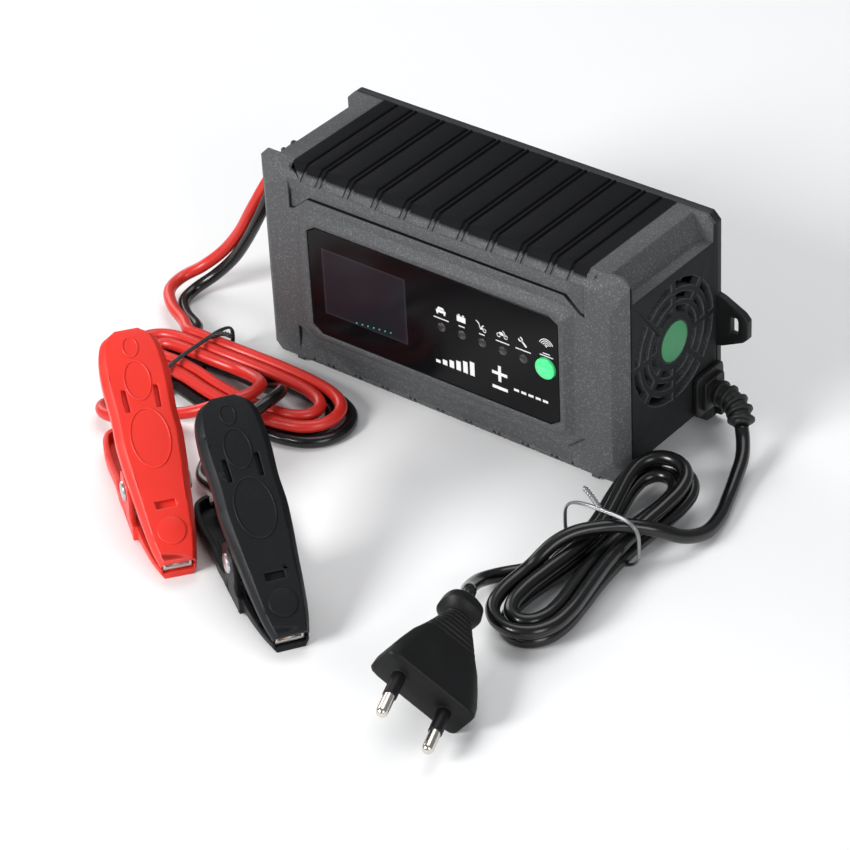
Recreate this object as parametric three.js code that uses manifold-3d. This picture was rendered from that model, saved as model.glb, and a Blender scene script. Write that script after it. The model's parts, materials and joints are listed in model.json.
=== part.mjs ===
// A car battery charger: a two-part housing with a ribbed middle and plain end caps, a fan,
// a display with five lamps and a mode button, a mains lead tied in a hank with its plug,
// and a red and a black output lead, coiled together, that end in two spring clamps.
// Millimetres, +Z up. X runs along the housing, -Y is the display side, z = 0 is the table.
import * as THREE from "three";
import { mergeVertices } from "three/addons/utils/BufferGeometryUtils.js";
import { ConvexGeometry } from "three/addons/geometries/ConvexGeometry.js";
import Module from "manifold-3d";

const wasm = await Module();
wasm.setup();

// ---------------------------------------------------------------- driving dimensions
// Housing
const housingWidth = 160;
const housingHeight = 84.5;
const housingDepth = 58.5;
const wall = 2.5;
const frontWall = 3;
const endWall = 3.5;
const backPlateThickness = 2.8;
const seat = 0.3; // the gap between two pieces that rest on each other
const joint = 0.4; // the gap between two stretches of a lead, and between a lead and its end piece
const endCapWidth = 15.7;
const topBevelDepth = 4.6;
const topBevelHeight = 4.7;
const endBevelWidth = 5.1;
const endBevelDepth = 4.8;
const cornerFacetWidth = 6.7;
const cornerFacetHeight = 7.4;
const edgeChamfer = 2.8;
const cavityBevelHeight = 3; // inside, behind the front bevels
const cavityBevelDepth = 2.6;
const cavityCorner = 2;
// End pockets, cut into the top and bottom edges of the end caps
const pocketInset = 8.1;
const pocketLedgeInset = 4.2;
const pocketDepth = 9.6;
const pocketBlock = 6.2; // what stands in front of the pocket
const pocketWall = 2.3;
const pocketBackWall = 2.4; // what stands behind the pocket, in front of the back plate
// Grip pads on the middle
const padPitch = 12.5;
const padGapCount = 4; // gaps on each side of the middle one
const padGapWidth = 3.3;
const padGapRib = 1;
const padGapDepth = 0.8;
const lastGapPlace = 57.8;
// Wedge-shaped recess under the pads
const wedgeDrop = 6.8;
const wedgeDepth = 1.7;
const wedgeEndDrop = 12.8;
const wedgeSlopeStart = 8.6;
const wedgeSlopeEnd = 2.2;
const wedgeCornerRise = 0.6;
// Display
const bezelHalfWidth = 59.7;
const bezelHalfHeight = 27;
const bezelMiddle = 42.25;
const bezelHeight = 2.5;
const bezelSlope = 2.7;
const bezelRim = 2.1;
const bezelCorner = 4;
const panelThickness = 1.5;
const panelSink = 0.3;
const screenWidth = 37.5;
const screenHeight = 27.1;
const screenInset = 29.75; // from the end of the bezel to the middle of the screen
const screenPlaceX = screenInset - bezelHalfWidth;
const screenPlaceZ = 43.25;
const lampDiameter = 2.6;
const lampRim = 1.2;
const lampPitch = 8.85;
const lampZ = 42.9;
const lampCount = 5;
const buttonDiameter = 8.2;
const buttonInset = 10.5; // from the end of the bezel to the middle of the button
const buttonX = bezelHalfWidth - buttonInset;
const lampRun = 44.8; // from the first lamp to the button
const lampFirstX = buttonX - lampRun;
const buttonZ = 42.6;
const buttonProud = 0.5;
const buttonFlange = 11;
const buttonFlangeThickness = 1;
const buttonTravel = 0.6;
const displayBoardDepth = 4.7; // from the front wall to the board
const boardThickness = 1.6;
const displayBoardWidth = 112;
const displayBoardHeight = 44;
const postDiameter = 5;
const postPinDiameter = 2.4;
const postPinLength = 1.2; // beyond the board
const postInset = 4;
// Main board and what stands on it
const mainBoardBack = 4.3; // from the back plate to the board
const mainBoardHalfWidth = 61.5;
const mainBoardNotch = 6; // half the height of the notches round the bosses
const railShort = 4; // from the end of a rail to the end of the board
const railThickness = 2;
const railHeight = 3.4;
const transformerWidth = 36;
const transformerDepth = 24;
const coreThickness = 14;
const coreLeg = 10;
const coreYoke = 4;
const windingOverhang = 7;
// Fan
const fanSize = 50;
const fanThickness = 10;
const fanBore = 47;
const fanHole = 3.2;
const fanHoleSpacing = 40;
const fanHubThickness = 2;
const fanShaft = 2;
const fanPlaceY = 0.7;
const fanPlaceZ = housingHeight - pocketDepth - pocketWall - seat - fanSize / 2; // just under the corner pockets
const rotorHub = 22;
const bladeCount = 7;
const grilleHubRadius = 9;
const grilleRings = [10.7, 13.3, 15.4, 18.1, 20.4, 23.5];
const grilleSpokes = 8;
const grilleSpokeWidth = 2.4;
const stickerDiameter = 15;
const stickerThickness = 0.35;
const ventCount = 6;
const ventPitch = 5;
const ventWidth = 2.4;
const ventBottom = 12;
const ventTop = 38;
const ventFirstY = -12;
// Ears of the back plate
const earLength = 12.7;
const earRootHeight = 19.7;
const earTipHeight = 9.4;
const earShoulder = 2.2;
const earCorner = 2.2;
const earMiddle = 42;
const earSlotWidth = 3;
const earSlotHeight = 6.7;
const earSlotPlace = 7.1;
const lugLength = 2;
const lugHeight = 7;
// Screws of the back plate
const screwDiameter = 3;
const screwHead = 6;
const screwHeadHeight = 1.7;
const screwLength = 12;
const screwPlaceX = 66;
const screwInset = 6.8;
const bossDiameter = 7;
const bossWeb = 3;
// Leads
const mainsDiameter = 5;
const outputDiameter = 4.5;
const layerStep = 5.6;
// Plug
const plugWidth = 35.3;
const plugThickness = 13.7;
const plugPinDiameter = 4;
const plugPinSpacing = 18.6;
const plugPinLength = 19;
const plugPinSleeve = 10;
// Clamps
const clampSize = 1.1; // the sizes below are drawn for a clamp 77 mm long, and the whole clamp is this much larger
const clampLength = 77;
const clampPlateAngle = 18;
const clampPivotPlace = 30;
const clampPivotHeight = 14;
const clampHalfWidth = 10.7;
const clampTopHalfWidth = 8.5;
const clampWall = 2;
const clampBand = 6.4;
const clampPinDiameter = 3.6;
const clampEarRadius = 6.2;
const jawEarRadius = 4.2;
const clampPinHead = 6.4;
const jawSheet = 1;
const jawHalf = 4.6;
const toothCount = 7;
const toothPitch = 2.7;
const toothDepth = 1.2;
const jawEyeDepth = 3; // how far the teeth stand back from the jaw line, at the middle
const handleSlotPlace = 5.1;
const handleSlotWidth = 1.5;
const handleSlotFrom = 49.9;
const handleSlotTo = 57.4;
const springWire = 1.2;

const frontY = -housingDepth / 2;
const backY = housingDepth / 2;
const shellBackY = backY - backPlateThickness - seat;
const halfWidth = housingWidth / 2;
const capInner = halfWidth - endCapWidth;
const cavityEnd = halfWidth - endWall;
const cavityFrontY = frontY + frontWall;
const ridgeY = frontY - bezelHeight;
const panelFrontY = ridgeY + panelSink;
const panelBackY = panelFrontY + panelThickness;
const pocketFloorY = panelBackY + seat;
const buttonFrontY = panelFrontY - buttonProud;
const displayBoardFrontY = cavityFrontY + displayBoardDepth;
const mainBoardBackY = backY - backPlateThickness - mainBoardBack;
const mainBoardFrontY = mainBoardBackY - boardThickness;
const partsSeatY = mainBoardFrontY - seat;

// ---------------------------------------------------------------- solids
function solidOf(geometry) {
  const bare = geometry.index ? geometry.toNonIndexed() : geometry.clone();
  bare.deleteAttribute("normal");
  bare.deleteAttribute("uv");
  const merged = mergeVertices(bare, 1e-4);
  return new wasm.Manifold(
    new wasm.Mesh({
      numProp: 3,
      vertProperties: merged.attributes.position.array,
      triVerts: new Uint32Array(merged.index.array),
    }),
  );
}

function geometryOf(solid) {
  const mesh = solid.getMesh();
  const geometry = new THREE.BufferGeometry();
  const positions = new Float32Array(mesh.numVert * 3);
  for (let i = 0; i < mesh.numVert; i += 1) {
    const from = i * mesh.numProp;
    positions.set(mesh.vertProperties.subarray(from, from + 3), i * 3);
  }
  geometry.setAttribute("position", new THREE.BufferAttribute(positions, 3));
  geometry.setIndex(new THREE.BufferAttribute(new Uint32Array(mesh.triVerts), 1));
  geometry.computeVertexNormals();
  return geometry;
}

function join(...solids) {
  return solids.flat().reduce((sum, next) => sum.add(next));
}

function cut(solid, ...tools) {
  return tools.flat().reduce((rest, next) => rest.subtract(next), solid);
}

function common(...solids) {
  return solids.reduce((sum, next) => sum.intersect(next));
}

function box(x0, x1, y0, y1, z0, z1) {
  const geometry = new THREE.BoxGeometry(x1 - x0, y1 - y0, z1 - z0);
  return solidOf(geometry.translate((x0 + x1) / 2, (y0 + y1) / 2, (z0 + z1) / 2));
}

function shapeOf(outline) {
  if (outline.isShape) return outline;
  return new THREE.Shape(outline.map(([u, v]) => new THREE.Vector2(u, v)));
}

function extruded(outline, depth, curveSegments = 6) {
  return new THREE.ExtrudeGeometry(shapeOf(outline), { depth, bevelEnabled: false, curveSegments });
}

// The outline is (y, z) and runs along X.
function prismX(outline, from, to, curveSegments) {
  const axes = new THREE.Matrix4().makeBasis(
    new THREE.Vector3(0, 1, 0),
    new THREE.Vector3(0, 0, 1),
    new THREE.Vector3(1, 0, 0),
  );
  return solidOf(extruded(outline, to - from, curveSegments).applyMatrix4(axes).translate(from, 0, 0));
}

// The outline is (x, z) and runs along Y.
function prismY(outline, from, to, curveSegments) {
  const geometry = extruded(outline, to - from, curveSegments);
  return solidOf(geometry.rotateX(Math.PI / 2).translate(0, to, 0));
}

// The outline is (x, y) and runs along Z.
function prismZ(outline, from, to, curveSegments) {
  return solidOf(extruded(outline, to - from, curveSegments).translate(0, 0, from));
}

function rodX(diameter, x0, x1, y, z, sides = 24) {
  const geometry = new THREE.CylinderGeometry(diameter / 2, diameter / 2, x1 - x0, sides);
  return solidOf(geometry.rotateZ(Math.PI / 2).translate((x0 + x1) / 2, y, z));
}

function rodY(diameter, y0, y1, x, z, sides = 24) {
  const geometry = new THREE.CylinderGeometry(diameter / 2, diameter / 2, y1 - y0, sides);
  return solidOf(geometry.translate(x, (y0 + y1) / 2, z));
}

function hull(points) {
  return solidOf(new ConvexGeometry(points.map(([x, y, z]) => new THREE.Vector3(x, y, z))));
}

// Everything on the far side of a plane, as a large block.
function beyond(point, normal) {
  const size = 400;
  const turn = new THREE.Quaternion().setFromUnitVectors(
    new THREE.Vector3(0, 0, 1),
    new THREE.Vector3(...normal).normalize(),
  );
  const geometry = new THREE.BoxGeometry(size, size, size).translate(0, 0, size / 2);
  return solidOf(geometry.applyQuaternion(turn).translate(...point));
}

function mirrored(outline, middle) {
  return outline.map(([u, v]) => [u, 2 * middle - v]);
}

function moved(solid, matrix) {
  return solidOf(geometryOf(solid).applyMatrix4(matrix));
}

function curveThrough(points) {
  return new THREE.CatmullRomCurve3(
    points.map((point) => new THREE.Vector3(...point)),
    false,
    "centripetal",
  );
}

// A round tube along a smooth curve through the points.
function tube(points, diameter, sides, steps) {
  const section = new THREE.Shape();
  for (let i = 0; i < sides; i += 1) {
    const angle = (2 * Math.PI * i) / sides;
    const place = [(diameter / 2) * Math.cos(angle), (diameter / 2) * Math.sin(angle)];
    if (i === 0) section.moveTo(...place);
    else section.lineTo(...place);
  }
  const settings = { extrudePath: curveThrough(points), steps, bevelEnabled: false };
  return solidOf(new THREE.ExtrudeGeometry(section, settings));
}

// Rings of the given radii at the points, joined into one closed surface. An open sweep has
// flat ends; a closed one runs back into its first ring.
function sweep(points, radiusAt, sides, closed = false, firstNormal = new THREE.Vector3(0, 0, 1)) {
  const count = points.length;
  const at = (i) => points[closed ? (i + count) % count : Math.min(Math.max(i, 0), count - 1)];
  const normal = firstNormal.clone();
  const positions = [];
  for (let i = 0; i < count; i += 1) {
    const tangent = at(i + 1).clone().sub(at(i - 1)).normalize();
    normal.addScaledVector(tangent, -normal.dot(tangent)).normalize();
    const binormal = tangent.clone().cross(normal);
    for (let k = 0; k < sides; k += 1) {
      const angle = (2 * Math.PI * k) / sides;
      const place = points[i].clone();
      place.addScaledVector(normal, radiusAt(i) * Math.cos(angle));
      place.addScaledVector(binormal, radiusAt(i) * Math.sin(angle));
      positions.push(place.x, place.y, place.z);
    }
  }
  const indices = [];
  const rings = closed ? count : count - 1;
  for (let i = 0; i < rings; i += 1) {
    for (let k = 0; k < sides; k += 1) {
      const a = i * sides + k;
      const b = i * sides + ((k + 1) % sides);
      const c = ((i + 1) % count) * sides + k;
      const d = ((i + 1) % count) * sides + ((k + 1) % sides);
      indices.push(a, b, d, a, d, c);
    }
  }
  if (!closed) {
    const last = (count - 1) * sides;
    for (let k = 1; k < sides - 1; k += 1) {
      indices.push(0, k + 1, k);
      indices.push(last, last + k, last + k + 1);
    }
  }
  const geometry = new THREE.BufferGeometry();
  geometry.setAttribute("position", new THREE.Float32BufferAttribute(positions, 3));
  geometry.setIndex(indices);
  return solidOf(geometry);
}

// The least clear distance between stretches of one tube, or of two, in millimetres.
function leastGap(first, second, diameter) {
  const same = first === second;
  let travelled = 0;
  const along = first.map((point, i) => {
    if (i > 0) travelled += point.distanceTo(first[i - 1]);
    return travelled;
  });
  let least = Infinity;
  first.forEach((a, i) => {
    second.forEach((b, j) => {
      if (same && Math.abs(along[i] - along[j]) < 4 * diameter) return;
      least = Math.min(least, a.distanceTo(b));
    });
  });
  return least - diameter;
}

// ---------------------------------------------------------------- materials
function material(color, roughness, metalness = 0) {
  return new THREE.MeshStandardMaterial({ color, roughness, metalness });
}

const charcoal = material(0x4a4c4e, 0.65);
const blackPlastic = material(0x161718, 0.5);
const glossBlack = material(0x08090a, 0.08);
const screenGlass = material(0x10201f, 0.15);
const litGreen = material(0x3cdc82, 0.35);
const clearLamp = material(0x3a3d40, 0.2);
const boardGreen = material(0x1d5a34, 0.5);
const darkFerrite = material(0x2a2a2c, 0.7);
const yellowTape = material(0xc9a53a, 0.5);
const bareAluminium = material(0xa9adb0, 0.35, 1);
const sleeveBlack = material(0x1c1f2a, 0.35);
const copper = material(0xb5642e, 0.35, 1);
const stickerGreen = material(0x2d7d46, 0.5);
const steel = material(0xb8bcc0, 0.3, 1);
const leadBlack = material(0x131416, 0.35);
const leadRed = material(0xd8241c, 0.35);
const clampRed = material(0xe0281e, 0.45);
const clampBlack = material(0x202225, 0.5);

const charger = new THREE.Group();

function place(name, solid, surface, group = charger) {
  const mesh = new THREE.Mesh(geometryOf(solid), surface);
  mesh.name = name;
  group.add(mesh);
}

// ---------------------------------------------------------------- housing
// One end cap, at x > 0: a block with its front edges bevelled and its corners cut.
function endCap() {
  const top = housingHeight;
  const facetReach = endBevelWidth + cornerFacetWidth - edgeChamfer;
  const pocketEndY = backY - backPlateThickness - pocketBackWall;
  let cap = box(capInner - 1, halfWidth, frontY, shellBackY, 0, top);
  for (const side of [1, -1]) {
    const z = side > 0 ? top : 0;
    const bevelEdge = [0, frontY, z - side * topBevelHeight];
    cap = cut(cap, beyond(bevelEdge, [0, -topBevelHeight, side * topBevelDepth]));
    const facetTop = [halfWidth - endBevelWidth - cornerFacetWidth, frontY, z - side * topBevelHeight];
    const facetNormal = new THREE.Vector3(cornerFacetWidth, 0, -side * cornerFacetHeight)
      .cross(new THREE.Vector3(facetReach, topBevelDepth, side * topBevelHeight))
      .multiplyScalar(side);
    cap = cut(cap, beyond(facetTop, facetNormal.toArray()));
    cap = cut(cap, beyond([halfWidth, 0, z - side * edgeChamfer], [1, 0, side]));
    const inner = halfWidth - pocketInset;
    const ledge = halfWidth - pocketLedgeInset;
    const pocket = [
      [inner, z],
      [inner, z + side],
      [halfWidth + 1, z + side],
      [halfWidth + 1, z - side * pocketDepth],
      [ledge, z - side * pocketDepth],
    ];
    cap = cut(cap, prismY(pocket, frontY + pocketBlock, pocketEndY));
  }
  return cut(cap, beyond([halfWidth - endBevelWidth, frontY, 0], [endBevelDepth, -endBevelWidth, 0]));
}

// The ribbed middle, with its bevelled front edges.
function middleBlock() {
  const top = housingHeight;
  const section = [
    [frontY, topBevelHeight],
    [frontY + topBevelDepth, 0],
    [shellBackY, 0],
    [shellBackY, top],
    [frontY + topBevelDepth, top],
    [frontY, top - topBevelHeight],
  ];
  return prismX(section, -capInner, capInner);
}

// The cutter between two grip pads, along the bevel and over the top to the back.
function padGapTools() {
  const top = housingHeight;
  const slope = topBevelHeight / topBevelDepth;
  const long = Math.hypot(topBevelDepth, topBevelHeight);
  const drop = (padGapDepth * long) / topBevelDepth;
  const floorZ = top - padGapDepth;
  const startZ = top - topBevelHeight - drop;
  const turnY = frontY + (floorZ - startZ) / slope;
  const outline = [
    [frontY - 1, startZ - slope],
    [turnY, floorZ],
    [backY, floorZ],
    [backY, top + 2],
    [frontY - 1, top + 2],
  ];
  const places = [];
  for (let i = -padGapCount; i <= padGapCount; i += 1) places.push(i * padPitch);
  const slotWidth = (padGapWidth - padGapRib) / 2;
  const starts = places.flatMap((x) => [x - padGapWidth / 2, x + padGapRib / 2]);
  starts.push(-lastGapPlace - slotWidth / 2, lastGapPlace - slotWidth / 2);
  return [outline, mirrored(outline, top / 2)].flatMap((shape) =>
    starts.map((x) => prismX(shape, x, x + slotWidth)),
  );
}

// The recess under the pads, which deepens towards its lower edge.
function wedgeTools() {
  const top = housingHeight - topBevelHeight;
  const front = [
    [-capInner, top],
    [-capInner, top - wedgeEndDrop],
    [-capInner + wedgeSlopeEnd, top - wedgeEndDrop + wedgeCornerRise],
    [-capInner + wedgeSlopeStart, top - wedgeDrop],
    [capInner - wedgeSlopeStart, top - wedgeDrop],
    [capInner - wedgeSlopeEnd, top - wedgeEndDrop + wedgeCornerRise],
    [capInner, top - wedgeEndDrop],
    [capInner, top],
  ];
  const side = [
    [frontY - 1, top + wedgeDrop / wedgeDepth],
    [frontY + wedgeDepth, top - wedgeDrop],
    [frontY + wedgeDepth, top - wedgeEndDrop - 1],
    [frontY - 1, top - wedgeEndDrop - 1],
  ];
  const middle = housingHeight / 2;
  return [
    common(prismY(front, frontY - 1, frontY + wedgeDepth + 1), prismX(side, -capInner, capInner)),
    common(
      prismY(mirrored(front, middle), frontY - 1, frontY + wedgeDepth + 1),
      prismX(mirrored(side, middle), -capInner, capInner),
    ),
  ];
}

function cutCornerOutline(halfX, halfZ, corner, middleZ) {
  const low = corner * 0.62;
  return [
    [-halfX + corner, middleZ - halfZ],
    [halfX - corner, middleZ - halfZ],
    [halfX, middleZ - halfZ + low],
    [halfX, middleZ + halfZ - low],
    [halfX - corner, middleZ + halfZ],
    [-halfX + corner, middleZ + halfZ],
    [-halfX, middleZ + halfZ - low],
    [-halfX, middleZ - halfZ + low],
  ];
}

const ridgeHalfWidth = bezelHalfWidth - bezelSlope;
const ridgeHalfHeight = bezelHalfHeight - bezelSlope;
const pocketHalfWidth = ridgeHalfWidth - bezelRim;
const pocketHalfHeight = ridgeHalfHeight - bezelRim;

function bezel() {
  const base = cutCornerOutline(bezelHalfWidth, bezelHalfHeight, bezelCorner, bezelMiddle);
  const ridge = cutCornerOutline(ridgeHalfWidth, ridgeHalfHeight, bezelCorner, bezelMiddle);
  const root = base.map(([x, z]) => [x, frontY + 1, z]);
  return hull([...root, ...base.map(([x, z]) => [x, frontY, z]), ...ridge.map(([x, z]) => [x, ridgeY, z])]);
}

// The space inside the shell, open at the back.
function cavity() {
  const top = housingHeight;
  const lean = (pocketInset - pocketLedgeInset) / pocketDepth;
  const cornerX = halfWidth - pocketInset - wall * Math.hypot(1, lean);
  const ledgeZ = top - pocketDepth - pocketWall;
  const upper = [
    [cornerX + lean * wall, top - wall],
    [cornerX + lean * (top - ledgeZ), ledgeZ],
    [cavityEnd, ledgeZ],
  ];
  const right = [...mirrored(upper, top / 2), ...upper.slice().reverse()];
  const left = right.map(([x, z]) => [-x, z]).reverse();
  const across = prismY([...right, ...left], frontY, backY);
  const section = [
    [cavityFrontY, wall + cavityBevelHeight],
    [cavityFrontY + cavityBevelDepth, wall],
    [backY, wall],
    [backY, top - wall],
    [cavityFrontY + cavityBevelDepth, top - wall],
    [cavityFrontY, top - wall - cavityBevelHeight],
  ];
  const plan = [
    [-cavityEnd, backY],
    [-cavityEnd, cavityFrontY + cavityCorner],
    [-cavityEnd + cavityCorner, cavityFrontY],
    [cavityEnd - cavityCorner, cavityFrontY],
    [cavityEnd, cavityFrontY + cavityCorner],
    [cavityEnd, backY],
  ];
  return common(across, prismX(section, -halfWidth, halfWidth), prismZ(plan, 0, top));
}

const screwPlaces = [
  [-screwPlaceX, screwInset],
  [screwPlaceX, screwInset],
  [-screwPlaceX, housingHeight - screwInset],
  [screwPlaceX, housingHeight - screwInset],
];

function bosses() {
  return screwPlaces.map(([x, z]) => {
    const towardsWall = z < housingHeight / 2 ? [1, z] : [z, housingHeight - 1];
    const column = rodY(bossDiameter, cavityFrontY - 1, shellBackY, x, z, 12);
    const web = box(x - bossWeb / 2, x + bossWeb / 2, cavityFrontY - 1, shellBackY, ...towardsWall);
    return join(column, web);
  });
}

// Two ribs on the top and bottom walls that hold the main board between them.
function rails() {
  const top = housingHeight;
  const half = mainBoardHalfWidth - railShort;
  const pairs = [
    [mainBoardFrontY - seat - railThickness, mainBoardFrontY - seat],
    [mainBoardBackY + seat, mainBoardBackY + seat + railThickness],
  ];
  return pairs.flatMap(([y0, y1]) => [
    box(-half, half, y0, y1, wall - 1, wall + railHeight),
    box(-half, half, y0, y1, top - wall - railHeight, top - wall + 1),
  ]);
}

const postPlaces = [-1, 1].flatMap((sx) =>
  [-1, 1].map((sz) => [
    sx * (displayBoardWidth / 2 - postInset),
    bezelMiddle + sz * (displayBoardHeight / 2 - postInset),
  ]),
);

function displayPosts() {
  return postPlaces.map(([x, z]) => {
    const post = rodY(postDiameter, cavityFrontY - 1, displayBoardFrontY - seat, x, z, 8);
    const pinEnd = displayBoardFrontY + boardThickness + postPinLength;
    return join(post, rodY(postPinDiameter, cavityFrontY, pinEnd, x, z, 8));
  });
}

// Arc slots between the spokes of the fan grille.
function grilleTools() {
  const tools = [];
  for (let ring = 0; ring < grilleRings.length; ring += 2) {
    const [inner, outer] = [grilleRings[ring], grilleRings[ring + 1]];
    for (let spoke = 0; spoke < grilleSpokes; spoke += 1) {
      const middle = ((spoke + 0.5) * 2 * Math.PI) / grilleSpokes;
      const reach = (radius) => Math.PI / grilleSpokes - Math.asin(grilleSpokeWidth / 2 / radius);
      const points = [];
      const steps = 3;
      for (let i = 0; i <= steps; i += 1) {
        const angle = middle - reach(outer) + (2 * reach(outer) * i) / steps;
        points.push([fanPlaceY + outer * Math.cos(angle), fanPlaceZ + outer * Math.sin(angle)]);
      }
      for (let i = steps; i >= 0; i -= 1) {
        const angle = middle - reach(inner) + (2 * reach(inner) * i) / steps;
        points.push([fanPlaceY + inner * Math.cos(angle), fanPlaceZ + inner * Math.sin(angle)]);
      }
      tools.push(prismX(points, cavityEnd - 1, halfWidth + 1));
    }
  }
  return tools;
}

function ventTools() {
  const tools = [];
  for (let i = 0; i < ventCount; i += 1) {
    const y = ventFirstY + i * ventPitch;
    tools.push(box(-halfWidth - 1, -cavityEnd + 1, y, y + ventWidth, ventBottom, ventTop));
  }
  return tools;
}

// Strain reliefs: where each sits in its end wall.
const mainsNeck = 7.6;
const fanToNeck = 0.5; // between the fan and the neck under it
const outputGlandDrop = 22; // from the top of the housing
const mainsGland = {
  side: 1,
  y: 19.2,
  z: fanPlaceZ - fanSize / 2 - fanToNeck - mainsNeck / 2,
  size: 16.4,
  neck: mainsNeck,
};
const outputGland = { side: -1, y: 14, z: housingHeight - outputGlandDrop, size: 16.4, neck: 8.4 };

function glandHole({ side, y, z, neck }) {
  const half = neck / 2 + seat;
  const [x0, x1] = side > 0 ? [cavityEnd - 2, halfWidth + 2] : [-halfWidth - 2, -cavityEnd + 2];
  return box(x0, x1, y - half, y + half, z - half, z + half);
}

function frontShell() {
  const right = endCap();
  const left = right.mirror([1, 0, 0]);
  let shell = join(middleBlock(), right, left);
  shell = cut(shell, padGapTools(), wedgeTools());
  shell = join(shell, bezel());
  shell = cut(shell, cavity());
  shell = join(shell, bosses(), rails(), displayPosts());
  const pocket = cutCornerOutline(pocketHalfWidth, pocketHalfHeight, bezelCorner, bezelMiddle);
  const screen = [screenWidth / 2, screenHeight / 2];
  shell = cut(
    shell,
    prismY(pocket, ridgeY - 1, pocketFloorY),
    box(
      screenPlaceX - screen[0],
      screenPlaceX + screen[0],
      ridgeY,
      cavityFrontY + 1,
      screenPlaceZ - screen[1],
      screenPlaceZ + screen[1],
    ),
    rodY(buttonDiameter + 2 * seat, ridgeY, cavityFrontY + 1, buttonX, buttonZ),
    rodX(
      stickerDiameter + 2 * seat,
      halfWidth - stickerThickness - seat,
      halfWidth + 1,
      fanPlaceY,
      fanPlaceZ,
    ),
    grilleTools(),
    ventTools(),
    glandHole(mainsGland),
    glandHole(outputGland),
  );
  for (let i = 0; i < lampCount; i += 1) {
    const x = lampFirstX + i * lampPitch;
    shell = cut(shell, rodY(lampDiameter + 2 * seat, ridgeY, cavityFrontY + 1, x, lampZ, 8));
  }
  const bore = screwDiameter + 2 * seat;
  for (const [x, z] of screwPlaces) {
    shell = cut(shell, rodY(bore, shellBackY - screwLength, backY, x, z, 12));
  }
  return shell;
}

function earOutline(side) {
  const root = halfWidth - 0.5;
  const shoulder = halfWidth + earShoulder;
  const tip = halfWidth + earLength;
  const upper = [
    [tip, earMiddle + earTipHeight / 2 - earCorner / 2],
    [tip - earCorner, earMiddle + earTipHeight / 2 + earCorner / 2],
    [shoulder, earMiddle + earRootHeight / 2],
    [root, earMiddle + earRootHeight / 2 + 0.7],
  ];
  const points = [...mirrored(upper, earMiddle).reverse(), ...upper];
  return points.map(([x, z]) => [side * x, z]);
}

function backPlate() {
  const innerY = backY - backPlateThickness;
  const top = housingHeight;
  const outline = [
    [-halfWidth + edgeChamfer, 0],
    [halfWidth - edgeChamfer, 0],
    [halfWidth, edgeChamfer],
    [halfWidth, top - edgeChamfer],
    [halfWidth - edgeChamfer, top],
    [-halfWidth + edgeChamfer, top],
    [-halfWidth, top - edgeChamfer],
    [-halfWidth, edgeChamfer],
  ];
  let plate = prismY(outline, innerY, backY);
  for (const side of [-1, 1]) {
    plate = join(plate, prismY(earOutline(side), innerY, backY));
    const slotX = side * (halfWidth + earSlotPlace);
    const half = earSlotHeight / 2;
    const lug = [side * (halfWidth - 5), side * (halfWidth + lugLength)].sort((a, b) => a - b);
    plate = join(plate, box(...lug, innerY, backY, edgeChamfer, edgeChamfer + lugHeight));
    plate = cut(
      plate,
      box(
        slotX - earSlotWidth / 2,
        slotX + earSlotWidth / 2,
        innerY - 1,
        backY + 1,
        earMiddle - half,
        earMiddle + half,
      ),
    );
  }
  for (const [x, z] of screwPlaces) {
    plate = cut(
      plate,
      rodY(screwDiameter + 2 * seat, innerY - 1, backY + 1, x, z, 16),
      rodY(screwHead + 2 * seat, backY - screwHeadHeight - seat, backY + 1, x, z, 16),
    );
  }
  return plate;
}

function backScrew([x, z]) {
  const shank = rodY(screwDiameter, backY - screwLength, backY - 0.5, x, z, 12);
  const head = rodY(screwHead, backY - screwHeadHeight, backY, x, z, 16);
  const slot = join(
    box(x - 1.8, x + 1.8, backY - 0.9, backY + 1, z - 0.4, z + 0.4),
    box(x - 0.4, x + 0.4, backY - 0.9, backY + 1, z - 1.8, z + 1.8),
  );
  return cut(join(head, shank), slot);
}

place("front_shell", frontShell(), charcoal);
place("back_plate", backPlate(), blackPlastic);
screwPlaces.forEach((spot, i) => place(`back_screw_${i + 1}`, backScrew(spot), steel));

// ---------------------------------------------------------------- display
function frontWindow() {
  const outline = cutCornerOutline(
    pocketHalfWidth - seat,
    pocketHalfHeight - seat,
    bezelCorner,
    bezelMiddle,
  );
  return cut(
    prismY(outline, panelFrontY, panelBackY),
    rodY(buttonDiameter + 2 * seat, ridgeY, cavityFrontY, buttonX, buttonZ),
  );
}

const moduleBackY = displayBoardFrontY - seat;

function screenModule() {
  const halfX = screenWidth / 2 - seat;
  const halfZ = screenHeight / 2 - seat;
  return box(
    screenPlaceX - halfX,
    screenPlaceX + halfX,
    panelBackY + seat,
    moduleBackY,
    screenPlaceZ - halfZ,
    screenPlaceZ + halfZ,
  );
}

function lamp(i) {
  const x = lampFirstX + i * lampPitch;
  const body = rodY(lampDiameter, panelBackY + seat, moduleBackY, x, lampZ, 8);
  return join(body, rodY(lampDiameter + 1, moduleBackY - lampRim, moduleBackY, x, lampZ, 8));
}

const flangeFrontY = cavityFrontY + seat;
const switchFrontY = moduleBackY - 1.1;
const plungerFrontY = switchFrontY - 1;

function modeButton() {
  const flangeBackY = flangeFrontY + buttonFlangeThickness;
  return join(
    rodY(buttonDiameter, buttonFrontY, flangeFrontY + 0.5, buttonX, buttonZ),
    rodY(buttonFlange, flangeFrontY, flangeBackY, buttonX, buttonZ),
    rodY(3, flangeBackY - 0.5, plungerFrontY - buttonTravel - seat, buttonX, buttonZ, 12),
  );
}

function modeSwitch() {
  return join(
    box(buttonX - 3, buttonX + 3, switchFrontY, moduleBackY, buttonZ - 3, buttonZ + 3),
    rodY(3.4, plungerFrontY, switchFrontY + 0.5, buttonX, buttonZ, 12),
  );
}

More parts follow.
